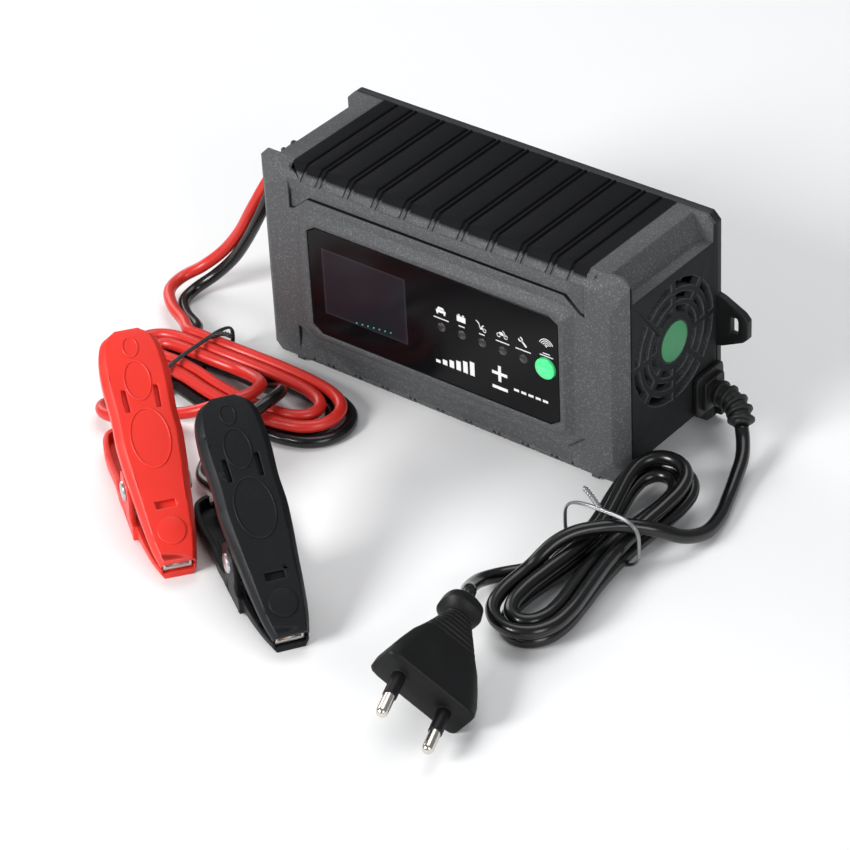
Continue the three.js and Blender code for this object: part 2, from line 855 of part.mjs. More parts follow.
function displayBoard() {
  const halfX = displayBoardWidth / 2;
  const halfZ = displayBoardHeight / 2;
  const y1 = displayBoardFrontY + boardThickness;
  const board = box(-halfX, halfX, displayBoardFrontY, y1, bezelMiddle - halfZ, bezelMiddle + halfZ);
  return cut(
    board,
    postPlaces.map(([x, z]) => rodY(postPinDiameter + 2 * seat, displayBoardFrontY - 1, y1 + 1, x, z, 8)),
  );
}

place("front_window", frontWindow(), glossBlack);
place("screen_module", screenModule(), screenGlass);
place("mode_button", modeButton(), litGreen);
place("mode_switch", modeSwitch(), blackPlastic);
for (let i = 0; i < lampCount; i += 1) place(`lamp_${i + 1}`, lamp(i), clearLamp);
place("display_board", displayBoard(), boardGreen);

// ---------------------------------------------------------------- main board
function mainBoard() {
  const half = mainBoardHalfWidth;
  const bottom = wall + seat;
  const top = housingHeight - wall - seat;
  const notch = bossDiameter / 2 + seat;
  const board = box(-half, half, mainBoardFrontY, mainBoardBackY, bottom, top);
  const edge = screwPlaceX - notch;
  const corners = screwPlaces.map(([x, z]) => {
    const [x0, x1] = x > 0 ? [edge, half + 1] : [-half - 1, -edge];
    return box(x0, x1, mainBoardFrontY - 1, mainBoardBackY + 1, z - mainBoardNotch, z + mainBoardNotch);
  });
  return cut(board, corners);
}

const transformerX = -14;
const transformerZ = 42;

function transformerCore() {
  const half = transformerWidth / 2;
  const y0 = partsSeatY - transformerDepth;
  const z0 = transformerZ - coreThickness / 2;
  const z1 = transformerZ + coreThickness / 2;
  const block = box(transformerX - half, transformerX + half, y0, partsSeatY, z0, z1);
  const windows = [-1, 1].map((side) => {
    const near = transformerX + (side * coreLeg) / 2;
    const far = transformerX + side * (half - coreYoke);
    return box(
      Math.min(near, far),
      Math.max(near, far),
      y0 + coreYoke,
      partsSeatY - coreYoke,
      z0 - 1,
      z1 + 1,
    );
  });
  return cut(block, windows);
}

function transformerWinding() {
  const halfOut = transformerWidth / 2 - coreYoke - seat;
  const halfIn = coreLeg / 2 + seat;
  const y0 = partsSeatY - transformerDepth + coreYoke + seat;
  const y1 = partsSeatY - coreYoke - seat;
  const outerZ = coreThickness / 2 + windingOverhang;
  const innerZ = coreThickness / 2 + seat;
  return cut(
    box(
      transformerX - halfOut,
      transformerX + halfOut,
      y0,
      y1,
      transformerZ - outerZ,
      transformerZ + outerZ,
    ),
    box(
      transformerX - halfIn,
      transformerX + halfIn,
      y0 - 1,
      y1 + 1,
      transformerZ - innerZ,
      transformerZ + innerZ,
    ),
  );
}

// A comb-shaped extrusion that stands on the board.
function heatSink(x0, x1, z0) {
  const baseThickness = 2.4;
  const finHeight = 10;
  const finThickness = 1.6;
  const finCount = 6;
  const depth = 20;
  const pitch = (x1 - x0 - finThickness) / (finCount - 1);
  const y0 = partsSeatY - depth;
  const pieces = [box(x0, x1, y0, partsSeatY, z0, z0 + baseThickness)];
  for (let i = 0; i < finCount; i += 1) {
    const x = x0 + i * pitch;
    pieces.push(box(x, x + finThickness, y0, partsSeatY, z0 + 1, z0 + baseThickness + finHeight));
  }
  return join(pieces);
}

function capacitor(diameter, length, x, z) {
  return rodY(diameter, partsSeatY - length, partsSeatY, x, z, 20);
}

const chokeRadius = 8;
const chokeWire = 3.6; // half the thickness of the wound ring

function choke(x, z) {
  const ring = new THREE.TorusGeometry(chokeRadius, chokeWire, 8, 16);
  return solidOf(ring.rotateX(Math.PI / 2).translate(x, partsSeatY - chokeWire, z));
}

const fuseLength = 20;
const fuseDiameter = 5;
const fuseCapDiameter = 6;
const fuseCapLength = 5;

function fuse(x, z) {
  const y = partsSeatY - fuseCapDiameter / 2 - seat;
  return join(
    rodX(fuseDiameter, x, x + fuseLength, y, z, 12),
    rodX(fuseCapDiameter, x, x + fuseCapLength, y, z, 12),
    rodX(fuseCapDiameter, x + fuseLength - fuseCapLength, x + fuseLength, y, z, 12),
  );
}

// Where the heat sinks, capacitors, choke and fuse stand on the board.
const heatSinkFrom = -56;
const heatSinkTo = -34;
const heatSinkHeights = [14, 48];
const inputCapacitorDiameter = 18;
const inputCapacitorLength = 30;
const inputCapacitorPlace = [38, 36];
const outputCapacitorDiameter = 10;
const outputCapacitorLength = 20;
const capacitorDrop = 18.5; // from the top of the housing
const outputCapacitorPlaces = [
  [14, housingHeight - capacitorDrop],
  [14, 18],
];
const chokeDrop = 22.5; // from the top of the housing
const chokePlace = [38, housingHeight - chokeDrop];
const fusePlace = [30, 14];

place("main_board", mainBoard(), boardGreen);
place("transformer_core", transformerCore(), darkFerrite);
place("transformer_winding", transformerWinding(), yellowTape);
heatSinkHeights.forEach((z, i) => {
  place(`heat_sink_${i + 1}`, heatSink(heatSinkFrom, heatSinkTo, z), bareAluminium);
});
place(
  "input_capacitor",
  capacitor(inputCapacitorDiameter, inputCapacitorLength, ...inputCapacitorPlace),
  sleeveBlack,
);
outputCapacitorPlaces.forEach((spot, i) => {
  const can = capacitor(outputCapacitorDiameter, outputCapacitorLength, ...spot);
  place(`output_capacitor_${i + 1}`, can, sleeveBlack);
});
place("choke", choke(...chokePlace), copper);
place("fuse", fuse(...fusePlace), steel);

// ---------------------------------------------------------------- fan
const fanOuterX = cavityEnd - seat;
const fanInnerX = fanOuterX - fanThickness;

function fanFrame() {
  const half = fanSize / 2;
  const block = box(
    fanInnerX,
    fanOuterX,
    fanPlaceY - half,
    fanPlaceY + half,
    fanPlaceZ - half,
    fanPlaceZ + half,
  );
  const open = cut(
    block,
    rodX(fanBore, fanInnerX - 1, fanOuterX + 1, fanPlaceY, fanPlaceZ, 32),
    [-1, 1].flatMap((sy) =>
      [-1, 1].map((sz) =>
        rodX(
          fanHole,
          fanInnerX - 1,
          fanOuterX + 1,
          fanPlaceY + (sy * fanHoleSpacing) / 2,
          fanPlaceZ + (sz * fanHoleSpacing) / 2,
          8,
        ),
      ),
    ),
  );
  const arms = [0, 1, 2].map((i) => {
    const arm = new THREE.BoxGeometry(1.6, half, 3).translate(0, half / 2, 0);
    arm.rotateX((i * 2 * Math.PI) / 3);
    return solidOf(arm.translate(fanInnerX + 0.8, fanPlaceY, fanPlaceZ));
  });
  return cut(
    join(open, arms, rodX(rotorHub, fanInnerX, fanInnerX + fanHubThickness, fanPlaceY, fanPlaceZ, 20)),
    rodX(fanShaft + 2 * seat, fanInnerX - 1, fanOuterX, fanPlaceY, fanPlaceZ, 12),
  );
}

function fanRotor() {
  const x0 = fanInnerX + fanHubThickness + 0.5;
  const x1 = fanOuterX - 1.2;
  const hub = rodX(rotorHub, x0, x1, fanPlaceY, fanPlaceZ, 20);
  const shaft = rodX(fanShaft, fanInnerX + 0.3, x0 + 1, fanPlaceY, fanPlaceZ, 12);
  const reach = fanBore / 2 - 0.8;
  const blades = [];
  for (let i = 0; i < bladeCount; i += 1) {
    const blade = new THREE.BoxGeometry(1, reach - rotorHub / 2 + 2, 8.4);
    blade.translate(0, (reach + rotorHub / 2 - 2) / 2, 0);
    blade.rotateY((50 * Math.PI) / 180);
    blade.rotateX((i * 2 * Math.PI) / bladeCount);
    blades.push(solidOf(blade.translate((x0 + x1) / 2, fanPlaceY, fanPlaceZ)));
  }
  return join(hub, shaft, blades);
}

place("fan_frame", fanFrame(), blackPlastic);
place("fan_rotor", fanRotor(), blackPlastic);
place(
  "fan_sticker",
  rodX(stickerDiameter, halfWidth - stickerThickness, halfWidth, fanPlaceY, fanPlaceZ),
  stickerGreen,
);

// ---------------------------------------------------------------- strain reliefs
// A square flange and a step on the end wall, a neck through it, and a ribbed boot that
// bends over the lead. The lead's route starts at the end of the boot.
function strainRelief(gland, route, firstRadius, lastRadius) {
  const { side, y, z, size, neck } = gland;
  const out = (distance) => side * (halfWidth + distance);
  const slab = (from, to, width) => {
    const [x0, x1] = [out(from), out(to)].sort((a, b) => a - b);
    return box(x0, x1, y - width / 2, y + width / 2, z - width / 2, z + width / 2);
  };
  const flange = slab(seat, seat + 2, size);
  const step = slab(seat + 1.5, seat + 4, size * 0.72);
  const plug = slab(-endWall - 2, seat + 1, neck);
  const curve = curveThrough(route);
  const ribs = 5;
  const ribHeight = 0.8;
  const stations = [];
  const radii = [];
  const slope = (t) => firstRadius + (lastRadius - firstRadius) * t;
  for (let i = 0; i < ribs; i += 1) {
    const profile = [
      [0.2, 0],
      [0.32, ribHeight],
      [0.84, ribHeight],
      [0.96, 0],
    ];
    for (const [offset, height] of profile) {
      const t = (i + offset) / ribs;
      stations.push(curve.getPointAt(t));
      radii.push(slope(t) + height);
    }
  }
  stations.push(curve.getPointAt(1));
  radii.push(slope(1));
  const boot = sweep(stations, (i) => radii[i], 10);
  return join(flange, step, plug, boot);
}

// Each route is given as the distance out of the end wall, and the place beside and above
// the middle of its gland.
function reliefRoute({ side, y, z }, steps) {
  return steps.map(([out, beside, above]) => [side * (halfWidth + out), y + beside, z + above]);
}

const mainsReliefRoute = reliefRoute(mainsGland, [
  [2, 0, 0],
  [7, 0, 0],
  [12.5, -0.6, -1],
  [16.4, -2.6, -3.2],
  [18.8, -5.4, -5.6],
]);
const outputReliefRoute = reliefRoute(outputGland, [
  [2, 0, 0],
  [7, -0.4, 0.1],
  [12.4, -2.8, -1.3],
  [15.8, -6.2, -4.3],
  [17.6, -9.6, -7.9],
]);

// A point past the end of a boot, and to one side of its middle.
function pastRelief(route, distance, aside = 0) {
  const curve = curveThrough(route);
  const tangent = curve.getTangentAt(1);
  const across = new THREE.Vector3(-tangent.y, tangent.x, 0).normalize();
  return curve.getPointAt(1).addScaledVector(tangent, distance).addScaledVector(across, aside).toArray();
}

place("mains_strain_relief", strainRelief(mainsGland, mainsReliefRoute, 4.3, 3.5), blackPlastic);
place("output_strain_relief", strainRelief(outputGland, outputReliefRoute, 4.6, 4.4), blackPlastic);

// ---------------------------------------------------------------- mains lead
const mainsRadius = mainsDiameter / 2;
const lowLayer = mainsRadius + 0.1;
const hankCentre = new THREE.Vector2(95.4, -62.4);
const hankAxis = new THREE.Vector2(0.05, -1).normalize();
const hankTurns = 3;
const hankStart = 0.09;
const hankEnd = 3.03;
const hankLowerHalf = 49.5;
const hankUpperHalf = 37.5;
const hankUpperLift = 8;
const hankWaist = 1.6;
const hankLobe = 5.4;
const hankPitch = 5.6;
const hankWaistLift = 1.3;
const loopSteps = 24;

// A point of the hank after so many turns: it winds in on the upper layer, drops a layer
// on the run where the winding turns back, and winds out again on the lower one.
function hankPoint(turn) {
  const middle = hankTurns / 2;
  const level = hankPitch * Math.abs(turn - middle);
  const angle = 2 * Math.PI * turn;
  const waist = hankWaist + level;
  const lobe = hankLobe + level;
  const broad = (waist + Math.SQRT2 * lobe) / 2;
  const pinch = (Math.SQRT2 * lobe - waist) / 2;
  const half = Math.sin(angle) > 0 ? hankLowerHalf : hankUpperHalf;
  const along = (half + level) * Math.sin(angle);
  const across = broad * Math.cos(angle) - pinch * Math.cos(3 * angle);
  const fall = THREE.MathUtils.smoothstep(turn, middle - 0.25, middle + 0.25);
  const waistLift = hankWaistLift * Math.cos(angle) ** 2;
  const upperLift = hankUpperLift * Math.max(0, -Math.sin(angle)) ** 1.5;
  const z = lowLayer + layerStep * (1 - fall) + waistLift + upperLift;
  return new THREE.Vector3(
    hankCentre.x + hankAxis.x * along + hankAxis.y * across,
    hankCentre.y + hankAxis.y * along - hankAxis.x * across,
    z,
  );
}

const hankPoints = [];
const hankCount = Math.round((hankEnd - hankStart) * loopSteps);
for (let i = 0; i <= hankCount; i += 1) {
  hankPoints.push(hankPoint(hankStart + ((hankEnd - hankStart) * i) / hankCount));
}

// The point at some distance before the start, or past the end, of a run of points.
function extended(points, fromEnd, distance) {
  const end = fromEnd ? points[points.length - 1] : points[0];
  const near = fromEnd ? points[points.length - 2] : points[1];
  const step = end.clone().sub(near).normalize();
  return end.clone().addScaledVector(step, distance).toArray();
}

const mainsFirstRoute = [
  pastRelief(mainsReliefRoute, joint),
  pastRelief(mainsReliefRoute, joint + mainsDiameter),
  [105.4, 4.4, 7],
  [108.6, -4.4, 4.6],
  [112, -14, 3.1],
  [115.4, -24, 2.8],
  [117, -35, 3.8],
  [115, -45.4, 7.6],
  [109.8, -53, 12.8],
  [102.6, -59.4, 15.4],
  [95.8, -65.8, 15.7],
  [90.2, -72.4, 15.2],
  [86.6, -79, 13.2],
  extended(hankPoints, false, joint + mainsDiameter),
  extended(hankPoints, false, joint),
];

const plugFace = new THREE.Vector3(100.6, -167.4, 14.9);
const plugYaw = -69.4;
const plugPitch = 2.5;
const plugRoll = -41;
const plugRear = 46;

const plugTurn = new THREE.Euler(
  THREE.MathUtils.degToRad(plugRoll),
  THREE.MathUtils.degToRad(plugPitch),
  THREE.MathUtils.degToRad(plugYaw),
  "ZYX",
);
const plugAxis = new THREE.Vector3(1, 0, 0).applyEuler(plugTurn);

function behindPlug(distance) {
  return plugFace.clone().addScaledVector(plugAxis, -plugRear - distance).toArray();
}

const mainsLastRoute = [
  extended(hankPoints, true, joint),
  extended(hankPoints, true, joint + mainsDiameter),
  [78.6, -85.6, 2.8],
  [73.6, -92.6, 3.2],
  [72.4, -100.6, 5.6],
  [74.8, -108.2, 9.2],
  [78.4, -114.8, 13],
  behindPlug(joint + mainsDiameter),
  behindPlug(joint),
];

place("mains_lead_first", tube(mainsFirstRoute, mainsDiameter, 10, 18), leadBlack);
place("mains_hank", sweep(hankPoints, () => mainsRadius, 6), leadBlack);
place("mains_lead_last", tube(mainsLastRoute, mainsDiameter, 10, 10), leadBlack);

const tieWire = 1;
const tieSquareness = 0.56; // 1 for an ellipse, less for a squarer ring
const hankTieHalfWidth = 14.6;
const hankTieTop = 20.2;
const leadTieHalfWidth = 20.3;
const leadTieTop = 12;

// A thin tie round a bundle, in the plane across the given direction.
function tieRing(centre, across, halfWide, top, tail) {
  const points = [];
  const steps = 24;
  const bottom = tieWire / 2 + 0.05;
  const middle = (bottom + top) / 2;
  const halfHigh = (top - bottom) / 2;
  for (let i = 0; i < steps; i += 1) {
    const angle = (2 * Math.PI * i) / steps;
    const square = (value) => Math.sign(value) * Math.abs(value) ** tieSquareness;
    points.push(
      new THREE.Vector3(
        centre.x + across.x * halfWide * square(Math.cos(angle)),
        centre.y + across.y * halfWide * square(Math.cos(angle)),
        middle + halfHigh * square(Math.sin(angle)),
      ),
    );
  }
  const normal = new THREE.Vector3(-across.y, across.x, 0);
  const ring = sweep(points, () => tieWire / 2, 5, true, normal);
  return join(ring, tube(tail, tieWire * 1.5, 6, 4));
}

const hankAcross = new THREE.Vector2(-hankAxis.y, hankAxis.x);
const tieCentre = new THREE.Vector2(hankCentre.x - 1.2, hankCentre.y);
place(
  "hank_tie",
  tieRing(tieCentre, hankAcross, hankTieHalfWidth, hankTieTop, [
    [tieCentre.x, tieCentre.y, hankTieTop - 0.2],
    [tieCentre.x - 5.4, tieCentre.y + 2.6, hankTieTop + 1.2],
    [tieCentre.x - 10.4, tieCentre.y + 5, hankTieTop + 1.8],
  ]),
  steel,
);

// ---------------------------------------------------------------- plug
function plugGroup() {
  const group = new THREE.Group();
  group.position.copy(plugFace);
  group.setRotationFromEuler(plugTurn);
  const halfWide = plugWidth / 2;
  const halfThick = plugThickness / 2;
  const section = (x, wide, thick) => {
    const corner = Math.min(wide, thick) * 0.45;
    return [
      [x, wide, thick - corner],
      [x, wide - corner, thick],
      [x, -wide + corner, thick],
      [x, -wide, thick - corner],
      [x, -wide, -thick + corner],
      [x, -wide + corner, -thick],
      [x, wide - corner, -thick],
      [x, wide, -thick + corner],
    ];
  };
  const loft = (...sections) => hull(sections.flat());
  const body = join(
    loft(section(0, halfWide, halfThick), section(-5, halfWide - 0.6, halfThick)),
    loft(section(-5, halfWide - 0.6, halfThick), section(-17, halfWide - 4.6, halfThick - 0.4)),
    loft(section(-17, halfWide - 4.6, halfThick - 0.4), section(-27, 8.4, 6.2)),
    loft(section(-27, 8.4, 6.2), section(-39, 4.6, 4.6)),
    loft(
      section(-38, 5.6, 5.6),
      section(-40, 7.2, 6.8),
      section(-43.5, 6.8, 6.4),
      section(-plugRear, 4.4, 4.4),
    ),
  );
  const pinY = plugPinSpacing / 2;
  const hole = plugPinDiameter + 2 * seat;
  const sleeves = [pinY, -pinY].map((y) => rodX(plugPinDiameter + 1.6, -1, plugPinSleeve, y, 0, 16));
  const holes = [pinY, -pinY].map((y) => rodX(hole, -14, plugPinSleeve + 1, y, 0, 16));
  place("plug_body", cut(join(body, sleeves), holes), blackPlastic, group);
  [pinY, -pinY].forEach((y, i) => {
    const shank = rodX(plugPinDiameter, -13, plugPinLength - 1.2, y, 0, 16);
    const tip = solidOf(
      new THREE.CylinderGeometry(plugPinDiameter / 2, 1.1, 1.3, 16)
        .rotateZ(Math.PI / 2)
        .translate(plugPinLength - 0.65, y, 0),
    );
    place(`plug_pin_${i + 1}`, join(shank, tip), steel, group);
  });
  return group;
}

charger.add(plugGroup());

// ---------------------------------------------------------------- output leads
// The two leads lie side by side as one flat pair. The middle line of the pair is set here;
// each lead runs beside it, half a pitch to its own side.
const outputRadius = outputDiameter / 2;
const pairHalf = outputRadius + 0.3;
const blackHeight = outputRadius + 0.05;
const redHeight = blackHeight + 4.3;
const redInset = 3.8; // the red lead lies on the black one, this much further in
const coilCentre = new THREE.Vector2(-74, -57);
const coilHalfLength = 54;
const coilHalfWidth = 20.5;
const coilPinch = 3;
const coilPinchPlace = -18;
const coilPinchWidth = 18;
const coilPitch = 8;
const coilWidthShare = 0.7; // the pitch across the coil, as a share of the pitch along it
const coilStart = 0.17;
const coilEnd = 2.25;
const coilTieLift = 1.6;

// The coil is a spiral drawn in where the tie holds it. It starts at the tie, runs
// clockwise as seen from above, and lies one pitch further in with each turn.
function coilPoint(turn, inset, height) {
  const level = coilPitch * (turn - coilStart) + inset;
  const angle = 2 * Math.PI * (0.5 - turn);
  const x = ((coilHalfLength - level) * (Math.cos(angle) - 0.03 * Math.cos(3 * angle))) / 0.97;
  const nearTie = Math.exp(-(((x - coilPinchPlace) / coilPinchWidth) ** 2));
  const half = coilHalfWidth - coilWidthShare * level - coilPinch * nearTie;
  const y = half * (Math.sin(angle) + 0.1 * Math.sin(3 * angle));
  const lift = coilTieLift * nearTie;
  return new THREE.Vector3(coilCentre.x + x, coilCentre.y + y, height + lift);
}

function coilRun(inset, height) {
  const points = [];
  const count = Math.round((coilEnd - coilStart) * loopSteps);
  for (let i = 0; i <= count; i += 1) {
    points.push(coilPoint(coilStart + ((coilEnd - coilStart) * i) / count, inset, height));
  }
  return points;
}

const redCoil = coilRun(redInset, redHeight);
const blackCoil = coilRun(0, blackHeight);

// ---------------------------------------------------------------- clamps
// A clamp lies with its lower handle flat on the table. In its own frame the jaw tips are at
// x = 0, the handles reach back to x = -clampLength, and z = 0 is the table.
const pivot = new THREE.Vector3(-clampPivotPlace, 0, clampPivotHeight);
const plateAngle = THREE.MathUtils.degToRad(clampPlateAngle);

// The upper handle is the lower one turned over about the jaw axis through the pivot.
const turnOver = new THREE.Matrix4()
  .makeTranslation(pivot.x, pivot.y, pivot.z)
  .multiply(new THREE.Matrix4().makeRotationY(plateAngle))
  .multiply(new THREE.Matrix4().makeRotationX(Math.PI))
  .multiply(new THREE.Matrix4().makeRotationY(-plateAngle))
  .multiply(new THREE.Matrix4().makeTranslation(-pivot.x, -pivot.y, -pivot.z));

// The height of the jaw axis, which runs from the tips through the pivot.
function jawLine(x) {
  return pivot.z - (x - pivot.x) * Math.tan(plateAngle);
}

function handlePlan(half) {
  const tip = half * 0.52;
  return [
    [0, -tip],
    [0, tip],
    [-6, half * 0.66],
    [-24, half * 0.84],
    [-44, half],
    [-66, half],
    [-73, half * 0.86],
    [-clampLength + 0.8, half * 0.5],
    [-clampLength, half * 0.2],
    [-clampLength, -half * 0.2],
    [-clampLength + 0.8, -half * 0.5],
    [-73, -half * 0.86],
    [-66, -half],
    [-44, -half],
    [-24, -half * 0.84],
    [-6, -half * 0.66],
  ];
}

// A handle shell: a plate with a band round it, and an ear on each side for the pivot pin.
function handleShell(earInner, earOuter) {
  const inset = clampWall;
  const shrink = (clampHalfWidth - inset) / clampHalfWidth;
  const plan = handlePlan(clampHalfWidth);
  const edge = clampHalfWidth - clampTopHalfWidth;
  const skirt = prismZ(plan, edge, clampBand);
  const foot = handlePlan(clampTopHalfWidth);
  const base = hull([
    ...foot.map(([x, y]) => [x, y, 0]),
    ...plan.map(([x, y]) => [x, y, edge]),
  ]);
  const hollowPlan = plan.map(([x, y]) => [x < -1 ? Math.max(x, -clampLength + inset) : 1, y * shrink]);
  const hollow = prismZ(hollowPlan, clampWall, clampBand + 1);
  const mouthZ = jawLine(0) - 0.6;
  const mouthLength = 25;
  const mouth = beyond([0, 0, mouthZ], [(clampBand - mouthZ) / mouthLength, 0, 1]);
  const leadNotch = box(-clampLength - 1, -clampLength + 8, -3.3, 3.3, clampWall + 1.2, clampBand + 1);
  const ears = [-1, 1].map((side) => {
    const [y0, y1] = [side * earInner, side * earOuter].sort((a, b) => a - b);
    const disc = rodY(2 * clampEarRadius, y0, y1, pivot.x, pivot.z, 20);
    const web = box(
      pivot.x - clampEarRadius - 3,
      pivot.x + clampEarRadius + 3,
      y0,
      y1,
      clampWall / 2,
      clampBand,
    );
    const neck = box(
      pivot.x - clampEarRadius,
      pivot.x + clampEarRadius,
      y0,
      y1,
      clampBand - 1,
      pivot.z,
    );
    return join(disc, web, neck);
  });
  const slots = [-1, 1].map((side) => {
    const y = side * handleSlotPlace;
    const half = handleSlotWidth / 2;
    return box(-handleSlotTo, -handleSlotFrom, y - half, y + half, -1, clampWall + 1);
  });
  const crossSlot = box(-19.9, -17.4, -3, 3, -1, clampWall + 1);
  return cut(
    join(cut(join(base, skirt), hollow, mouth, leadNotch), ears),
    slots,
    crossSlot,
    rodY(clampPinDiameter + 2 * seat, -20, 20, pivot.x, pivot.z, 16),
  );
}

const earOuter = clampHalfWidth - 0.9;
const earInner = earOuter - clampWall + 0.2;
const innerEarOuter = earInner - seat;
const innerEarInner = innerEarOuter - clampWall + 0.4;

// A jaw is a folded steel channel: two toothed sides, the floor that joins them, and ears
// on the pivot pin.
function jaw(earOut) {
  const floorZ = clampWall + seat;
  const jawRear = -44;
  const toothStart = -3.4;
  const jawTop = (x) => jawLine(x) - seat / 2;
  const outline = [
    [-1.2, floorZ],
    [-1.2, jawTop(-1.2)],
    [toothStart, jawTop(toothStart)],
  ];
  for (let i = 0; i < toothCount; i += 1) {
    const x = toothStart - i * toothPitch;
    const sink = jawEyeDepth * Math.sin((Math.PI * (i + 0.5)) / toothCount);
    outline.push([x - toothPitch / 2, jawTop(x) - sink - toothDepth]);
    outline.push([x - toothPitch, jawTop(x - toothPitch) - sink]);
  }
  outline.push([-24, floorZ + 4]);
  outline.push([jawRear + 2, floorZ + 3]);
  outline.push([jawRear, floorZ]);
  const sides = [-1, 1].map((side) => {
    const faces = [side * jawHalf, side * (jawHalf - jawSheet)].sort((a, b) => a - b);
    return prismY(outline, ...faces);
  });
  const floorPlate = box(jawRear, -1.2, -jawHalf + 0.2, jawHalf - 0.2, floorZ, floorZ + jawSheet);
  const ears = [-1, 1].map((side) => {
    const faces = [side * earOut, side * (earOut - jawSheet)].sort((a, b) => a - b);
    return join(
      rodY(2 * jawEarRadius, ...faces, pivot.x, pivot.z, 16),
      box(pivot.x - jawEarRadius, pivot.x + jawEarRadius, ...faces, floorZ, pivot.z),
    );
  });
  const earPlate = box(
    pivot.x - jawEarRadius,
    pivot.x + jawEarRadius,
    -earOut,
    earOut,
    floorZ,
    floorZ + jawSheet,
  );
  const bore = rodY(clampPinDiameter + 2 * seat, -20, 20, pivot.x, pivot.z, 16);
  return cut(join(sides, floorPlate, earPlate, ears), bore);
}

function pivotPin() {
  const reach = clampHalfWidth + 0.4;
  const headThickness = reach - earOuter - seat;
  return join(
    rodY(clampPinDiameter, -reach + 0.2, reach - 0.2, pivot.x, pivot.z, 16),
    rodY(clampPinHead, -reach, -reach + headThickness, pivot.x, pivot.z, 16),
    rodY(clampPinHead, reach - headThickness, reach, pivot.x, pivot.z, 16),
  );
}

// A spring wound round the pivot pin, with one leg along each handle.
function clampSpring() {
  const turns = 3;
  const radius = clampPinDiameter / 2 + seat + springWire / 2 + 0.4;
  const halfRun = 2.2;
  const stepsPerTurn = 8;
  const lean = 2 * plateAngle;
  const from = -Math.PI / 2;
  const to = from - turns * 2 * Math.PI - Math.PI + lean;
  const count = Math.round((turns + 0.5) * stepsPerTurn);
  const points = [];
  const at = (angle, t) =>
    new THREE.Vector3(
      pivot.x + radius * Math.cos(angle),
      -halfRun + 2 * halfRun * t,
      pivot.z + radius * Math.sin(angle),
    );
  const lowLeg = at(from, 0);
  points.push(lowLeg.clone().add(new THREE.Vector3(-14, 0, -4.2)));
  for (let i = 0; i <= count; i += 1) points.push(at(from + ((to - from) * i) / count, i / count));
  const upper = points[points.length - 1].clone();
  points.push(upper.add(new THREE.Vector3(-14 * Math.cos(lean) - 2, 0, 14 * Math.sin(lean) + 2)));
  return sweep(points, () => springWire / 2, 5, false, new THREE.Vector3(0, 1, 0));
}

// The rubber boot where the lead is crimped to the lower jaw.
const bootHeight = clampWall + seat + 3.9;
const bootRear = -72;
const bootFront = -47;

function cableBoot() {
  const stations = [bootRear, -68, -64, -58, -52, bootFront].map((x) => new THREE.Vector3(x, 0, bootHeight));
  const radii = [3.1, 3.7, 3.4, 3.9, 3.9, 3.2];
  return sweep(stations, (i) => radii[i], 10);
}

function clampGroup(colour, shellMaterial, tipX, tipY, yaw) {
  const group = new THREE.Group();
  group.position.set(tipX, tipY, 0);
  group.rotation.z = THREE.MathUtils.degToRad(yaw);
  group.scale.setScalar(clampSize);
  const lower = handleShell(earInner, earOuter);
  const upper = moved(handleShell(innerEarInner, innerEarOuter), turnOver);
  place(`${colour}_clamp_lower_handle`, lower, shellMaterial, group);
  place(`${colour}_clamp_upper_handle`, upper, shellMaterial, group);
  const lowerJaw = jaw(innerEarInner - seat);
  const upperJaw = moved(jaw(innerEarInner - 2 * seat - jawSheet), turnOver);
  place(`${colour}_clamp_lower_jaw`, lowerJaw, steel, group);
  place(`${colour}_clamp_upper_jaw`, upperJaw, copper, group);
  place(`${colour}_clamp_pivot_pin`, pivotPin(), steel, group);
  place(`${colour}_clamp_spring`, clampSpring(), steel, group);
  place(`${colour}_clamp_boot`, cableBoot(), leadBlack, group);
  return group;
}

const redClampTip = [-16.6, -150.8];
const blackClampTip = [39.9, -159.6];
const redClamp = clampGroup("red", clampRed, ...redClampTip, -37);
const blackClamp = clampGroup("black", clampBlack, ...blackClampTip, -33.3);
charger.add(redClamp);
charger.add(blackClamp);

// ---------------------------------------------------------------- output lead routes
function inClamp(clamp, x, z) {
  clamp.updateMatrix();
  return new THREE.Vector3(x, 0, z).applyMatrix4(clamp.matrix).toArray();
}

const redFirstRoute = [
  pastRelief(outputReliefRoute, joint, -pairHalf),
  pastRelief(outputReliefRoute, joint + outputDiameter, -pairHalf),
  [-107.6, -2.4, 38],
  [-113.6, -3.4, 27],
  [-120.4, -5.6, 17.6],
  [-128, -9.6, 10.2],
  [-133, -16.4, 7],
  [-131.4, -25, 6.6],
  [-123, -33, 6.6],
  [-112.4, -38.6, 6.8],
  extended(redCoil, false, joint + outputDiameter),
  extended(redCoil, false, joint),
];
const blackFirstRoute = [
  pastRelief(outputReliefRoute, joint, pairHalf),
  pastRelief(outputReliefRoute, joint + outputDiameter, pairHalf),
  [-103, -3.6, 37],
  [-109, -4.4, 26],
  [-115.4, -5.8, 16],
  [-122.4, -9.4, 8],
  [-127.4, -15.6, 3.4],
  [-126.6, -23, 2.4],
  [-119.8, -29.4, 2.4],
  [-110, -34.4, 2.6],
  extended(blackCoil, false, joint + outputDiameter),
  extended(blackCoil, false, joint),
];
const redLastRoute = [
  extended(redCoil, true, joint),
  extended(redCoil, true, joint + outputDiameter),
  [-60.6, -56.6, 10],
  [-55.4, -62, 12.2],
  [-55.4, -69, 12.6],
  [-60, -76.4, 11.8],
  [-68.6, -81.8, 8],
  [-79, -84, 4.2],
  [-90, -84.4, 2.6],
  [-99.6, -86.4, 3],
  [-103, -93, 4],
  [-98.6, -98.2, 5.4],
  inClamp(redClamp, bootRear - joint - outputDiameter, bootHeight),
  inClamp(redClamp, bootRear - joint, bootHeight),
];
